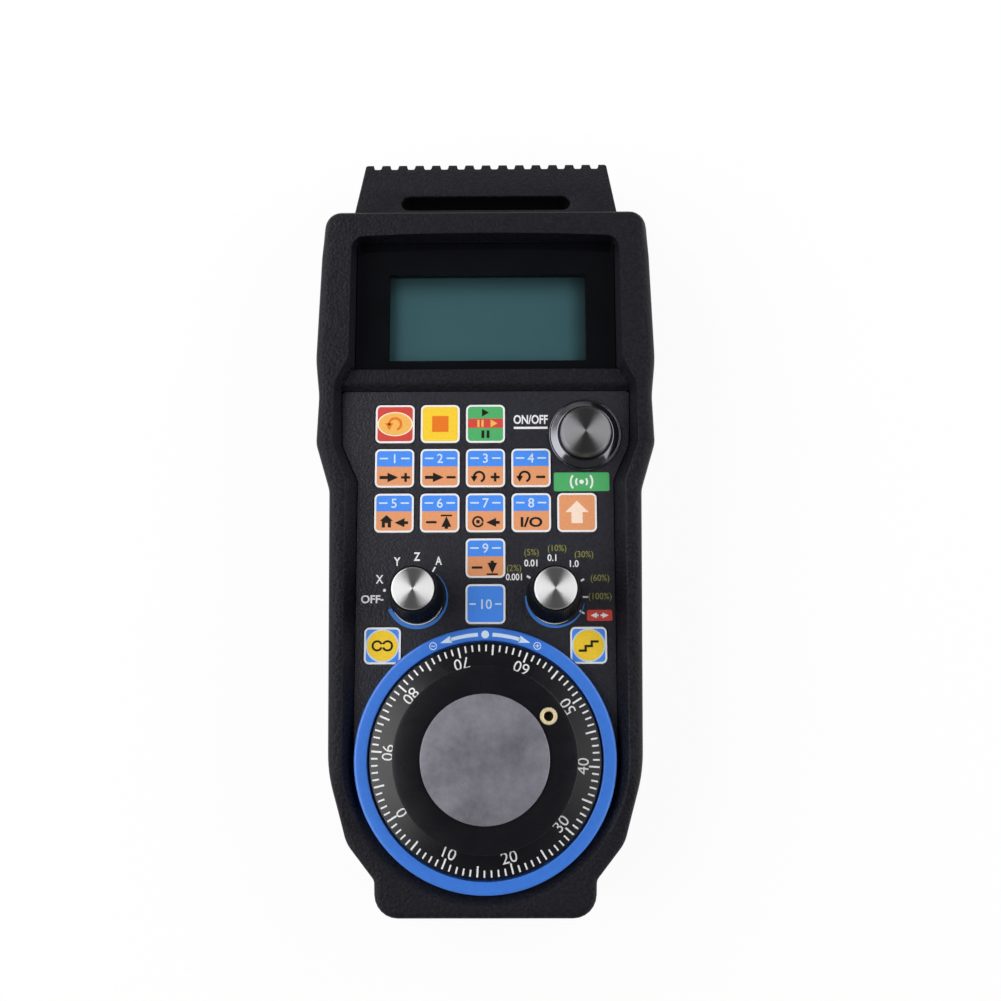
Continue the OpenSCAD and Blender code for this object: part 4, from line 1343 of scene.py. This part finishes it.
class PENDANT_OT_wheel_ring(bpy.types.Operator):
    """Models the painted ring round the dial, with its printed arrows and signs"""
    bl_idname = "pendant.wheel_ring"
    bl_label = "Wheel ring"

    def execute(self, context):
        low, lip, floor = bottom_of("wheel_ring"), DIAL_R + 0.4, PANEL + 0.2
        profile = softened([(10.2, floor), (10.2, low), (RING_R, low), (RING_R, RING_TOP, 0.8),
                            (lip, RING_TOP, 0.4), (lip, floor)], 6)
        ring = turned(0, 0, profile, 160, closed=True)
        seat = [(1.4, low - 1), (1.4, low + 0.5), (2, low + 0.5), (2, floor + 1)]
        seats = [turned(*polar(28.2, a), seat, 24) for a in (90, 210, 330)]
        combined(ring, seats, "DIFFERENCE")
        place_piece(ring, "painted_ring", "body", "satin_paint", ["wheel_ring"], smooth=32)
        middle_r = RING_R - 1.85
        shapes = [dot(0, middle_r, 1.02, 24)]
        for side in (-1, 1):
            tip, barbs = 90 - side * 21.6, 90 - side * 16.2
            x, y = polar(middle_r, 90 - side * 25.1)
            shapes += [crescent(0, 0, middle_r - 0.5, 90 - side * 3.4, 90 - side * 16.6, (1.0, 0.95, 0.9)),
                       [polar(middle_r, tip), polar(middle_r + 0.95, barbs), polar(middle_r - 0.95, barbs)],
                       part_ring(x, y, 0.9, 0.2, 0, 352),
                       plus(x, y, 1.05, 0.2) if side > 0 else bar(x, y, 1.05, 0.2)]
        printed("ring_marks", "body", "pale_ink", shapes, RING_TOP)
        return {"FINISHED"}


# Inner and outer edge of the dial's sloping face, as (radius, height).
HUB_FOOT = 29.38
SLOPE_IN = (23.75, HUB_FOOT)
SLOPE_OUT = (29.6, 28.3)


# Outer radius of the scale's marks, radius of its numbers, and its zero in degrees from +X.
MARK_R = 29.3
NUMBER_R = 24.95
ZERO_TURN = 212


def on_slope(obj, turn):
    """Lays flat marks made below the wheel's centre on the dial's sloping face, and turns them into place."""
    fall = (SLOPE_IN[1] - SLOPE_OUT[1]) / (SLOPE_OUT[0] - SLOPE_IN[0])
    for vertex in obj.data.vertices:
        radius = (WHEEL.y - vertex.co.y) / MM
        vertex.co.z += (SLOPE_IN[1] - (radius - SLOPE_IN[0]) * fall) * MM
    axis = spot(0, 0)
    obj.data.transform(Matrix.Translation(axis) @ Matrix.Rotation(math.radians(turn + 90), 4, "Z")
                       @ Matrix.Translation(-axis))
    return obj


class PENDANT_OT_dial(bpy.types.Operator):
    """Models the dial with its scale, the metal disc and the threaded insert"""
    bl_idname = "pendant.dial"
    bl_label = "Dial"

    def execute(self, context):
        under, seat, face = bottom_of("dial"), bottom_of("hub_disc"), top_of("hub_disc")
        seat_r, hub_r = extent("hub_disc")[3] + 0.05, 23.5
        profile = [(3.02, seat - 3), (3.02, under), (7, under), (7, under + 3), (22, under + 3), (22, under),
                   (DIAL_R, under), (DIAL_R, 28.25, 0.3), (hub_r + 0.25, HUB_FOOT, 0.06),
                   (hub_r, HUB_TOP - 0.4, 0.08), (20, HUB_TOP, 2.4), (seat_r, HUB_TOP, 0.12), (seat_r, seat),
                   (3.4, seat), (3.4, seat - 2), (1.7, seat - 2), (1.7, seat - 3)]
        dial = turned(0, 0, softened(profile, 6), 192, closed=True)
        x, y = plan("crank_insert")
        hole = turned(x, y, [(2.27, bottom_of("crank_insert") - 0.1), (2.27, HUB_TOP + 1)], 40)
        combined(dial, [hole], "DIFFERENCE")
        place_piece(dial, "wheel_dial", "handwheel", "gloss_moulding", ["dial"], smooth=30)
        self.scale()
        disc = softened([(0, seat), (seat_r - 0.05, seat), (seat_r - 0.05, face, 0.3), (0, face)], 3)
        place_piece(turned(0, 0, disc, 128), "hub_plate", "handwheel", "blasted_disc",
                    ["hub_disc"], smooth=30)
        self.insert(x, y)
        dress("steel", "wheel_screw", "wheel_shaft")
        dress("dark_tin", "code_wheel")
        return {"FINISHED"}

    def scale(self):
        """A hundred marks, every fifth one longer, and ten thin numbers that grow counterclockwise."""
        width, short, long = (getattr(sizes(), part) / MM
                              for part in ("tick_width", "tick_length", "long_tick_length"))
        marks = []
        for k in range(100):
            length = short if k % 5 else long
            line = mark(bar(0, -(MARK_R - length / 2), width if k % 5 else width * 1.1, length), 0)
            marks.append(on_slope(line, ZERO_TURN + 3.6 * k))
        for k in range(10):
            marks.append(on_slope(words(str(10 * k), 2.95, 0, -NUMBER_R, 0, squeeze=1.02), ZERO_TURN + 36 * k))
        place_piece(joined(marks), "dial_scale", "handwheel", "dial_white", smooth=0)

    def insert(self, x, y):
        low, top = bottom_of("crank_insert"), top_of("crank_insert")
        outer, bore = 2.25, 1.25
        profile = [(bore, low, 0), (outer, low, 0), (outer, top - 0.15, 0.12), (outer - 0.2, top, 0),
                   (bore + 0.25, top, 0), (bore, top - 0.25, 0)]
        insert = ribbed(x, y, profile, 20, closed=True)
        place_piece(insert, "brass_insert", "handwheel", "brass", ["crank_insert"], smooth=30)


class PENDANT_OT_inner_parts(bpy.types.Operator):
    """Finishes the parts inside the housing"""
    bl_idname = "pendant.inner_parts"
    bl_label = "Inner parts"

    def execute(self, context):
        dress("cell_wrap", "battery_cells")
        dress("contact_plate", "battery_contacts")
        dress("clear_film", "key_circuit")
        dress("steel", "key_domes", "board_screws", "selector_nuts", "encoder_screws", "wheel_bearings")
        # The display's glass carries painted shade at its edges.
        dress("unlit_display", "lcd_glass")
        dress("nylon", "display_ribbon", "encoder_cable")
        dress("circuit_board", "lcd_board", "main_board", "radio_module", "encoder_board")
        dress("black_nylon", "axis_switch", "step_switch", "encoder_body")
        return {"FINISHED"}


# ---------------- stage

# Where the camera stands, in metres of the frame, and how it is turned about Z, Y and X in degrees.
# Where the camera stands, in metres of the frame, and its turns in degrees, the first of them outermost.
CAMERA_PLACE = (0.00713, -0.06212, 0.37675)
CAMERA_TURNS = (("X", 10.65), ("Y", 0.5), ("Z", -0.21))
CAMERA_LENS = 48.06
# Share of what the camera sees of the floor that is plain white.
FLOOR_WHITE_SHARE = 0.93


class PENDANT_OT_studio(bpy.types.Operator):
    """Sets the floor, the soft lamps, the surroundings and the camera"""
    bl_idname = "pendant.studio"
    bl_label = "Studio"

    def execute(self, context):
        self.floor()
        # Place in metres, length along Y and height, power in watts.
        self.lamp("left_softbox", (-0.6, 0.26, 0.56), (1.5, 0.6), 9.0)
        self.lamp("right_softbox", (0.64, 0.26, 0.45), (1.5, 0.75), 6.3)
        self.lamp("far_softbox", (0.0, 0.95, 0.6), (1.2, 0.3), 0.15)
        self.surroundings()
        self.camera()
        return {"FINISHED"}

    def floor(self):
        """Floor that looks mostly plain white; the rest of it is its lit surface, which keeps the shadow."""
        clear_selection()
        bpy.ops.mesh.primitive_plane_add(size=8, location=(0, 0, -0.0004))
        floor = bpy.context.object
        floor.name = "studio_floor"
        material, tree, shader = shader_of("white_floor", Base_Color=linear("f4f4f4"), Roughness=0.7)
        glow = add_node(tree, "ShaderNodeEmission", {"Color": (1, 1, 1, 1), "Strength": 1.0})
        rays = add_node(tree, "ShaderNodeLightPath").outputs
        shiny = add_node(tree, "ShaderNodeMath", {"operation": "MAXIMUM"},
                         {0: rays["Is Glossy Ray"], 1: rays["Is Transmission Ray"]})
        seen = add_node(tree, "ShaderNodeMath", {"operation": "MAXIMUM"},
                        {0: rays["Is Camera Ray"], 1: shiny})
        share = add_node(tree, "ShaderNodeMath", {"operation": "MULTIPLY", 1: FLOOR_WHITE_SHARE}, {0: seen})
        blend = add_node(tree, "ShaderNodeMixShader", (), {"Fac": share, 1: shader, 2: glow})
        connect(tree, tree.nodes["Material Output"], {"Surface": blend})
        floor.data.materials.append(material)

    def lamp(self, name, place, size, power):
        clear_selection()
        bpy.ops.object.light_add(type="AREA", location=place)
        lamp = bpy.context.object
        lamp.name = name
        lamp.data.shape = "RECTANGLE"
        lamp.data.size, lamp.data.size_y = size
        lamp.data.energy = power
        # The side lamps face straight across, and the far one faces the object.
        aim = Vector((0, place[1] if place[0] else 0, 0.02)) - Vector(place)
        lamp.rotation_euler = aim.to_track_quat("-Z", "Y").to_euler()

    def surroundings(self):
        """Room that is white low down and dim overhead; the camera and clear parts see it white."""
        world = bpy.data.worlds.new("studio")
        bpy.context.scene.world = world
        world.use_nodes = True
        tree = world.node_tree
        way = add_node(tree, "ShaderNodeTexCoord").outputs["Generated"]
        rise = add_node(tree, "ShaderNodeSeparateXYZ", (), {"Vector": way}).outputs["Z"]
        lit, mirrored = (
            add_node(tree, "ShaderNodeValToRGB", {"stops": [(at, (grey,) * 3) for at, grey in greys]},
                     {"Fac": rise})
            for greys in (((0.0, 0.8), (0.3, 0.35), (0.7, 0.1), (1.0, 0.03)),
                          ((0.0, 1.0), (0.08, 0.6), (0.25, 0.2), (1.0, 0.04))))
        rays = add_node(tree, "ShaderNodeLightPath").outputs
        clear = add_node(tree, "ShaderNodeMath", {"operation": "MAXIMUM"},
                         {0: rays["Is Camera Ray"], 1: rays["Is Transmission Ray"]})
        # A colour mix takes its share at input 0 and its colours at 6 and 7; its result is output 2.
        room = add_node(tree, "ShaderNodeMix", {"data_type": "RGBA"},
                        {0: rays["Is Glossy Ray"], 6: lit, 7: mirrored})
        seen = add_node(tree, "ShaderNodeMix", {"data_type": "RGBA", 7: (1, 1, 1, 1)},
                        {0: clear, 6: room.outputs[2]})
        ground = tree.nodes["Background"]
        ground.inputs["Strength"].default_value = 1.0
        connect(tree, ground, {"Color": seen.outputs[2]})

    def camera(self):
        clear_selection()
        bpy.ops.object.camera_add(location=CAMERA_PLACE)
        camera = bpy.context.object
        camera.name = "studio_camera"
        turn = Matrix.Identity(4)
        for axis, degrees in CAMERA_TURNS:
            turn = turn @ Matrix.Rotation(math.radians(degrees), 4, axis)
        camera.matrix_world = Matrix.Translation(CAMERA_PLACE) @ turn
        camera.data.lens = CAMERA_LENS
        camera.data.sensor_width = 36
        camera.data.clip_start, camera.data.clip_end = 0.01, 20
        bpy.context.scene.camera = camera
        bpy.context.scene.view_settings.view_transform = "Standard"


# ---------------- panel and registration

STEPS = (PENDANT_OT_front_housing, PENDANT_OT_rear_housing, PENDANT_OT_keys, PENDANT_OT_key_panel,
         PENDANT_OT_display, PENDANT_OT_selectors, PENDANT_OT_power_button, PENDANT_OT_wheel_ring,
         PENDANT_OT_dial, PENDANT_OT_inner_parts, PENDANT_OT_studio)


class PENDANT_PT_pieces(bpy.types.Panel):
    """Lists the pieces, their sizes and their colours"""
    bl_idname = "PENDANT_PT_pieces"
    bl_label = "Control pendant"
    bl_space_type = "VIEW_3D"
    bl_region_type = "UI"
    bl_category = "Pendant"

    def draw(self, context):
        for step in STEPS:
            self.layout.operator(step.bl_idname)
        for group in (context.scene.pendant_sizes, context.scene.pendant_colours):
            box = self.layout.box()
            for key in group.__annotations__:
                box.prop(group, key)


CLASSES = (PendantSizes, PendantColours, *STEPS, PENDANT_PT_pieces)


def register():
    for kind in CLASSES:
        bpy.utils.register_class(kind)
    bpy.types.Scene.pendant_sizes = PointerProperty(type=PendantSizes)
    bpy.types.Scene.pendant_colours = PointerProperty(type=PendantColours)


def unregister():
    del bpy.types.Scene.pendant_colours
    del bpy.types.Scene.pendant_sizes
    for kind in reversed(CLASSES):
        bpy.utils.unregister_class(kind)


def main():
    register()
    for step in STEPS:
        getattr(bpy.ops.pendant, step.bl_idname.split(".")[1])()


if __name__ == "__main__":
    main()
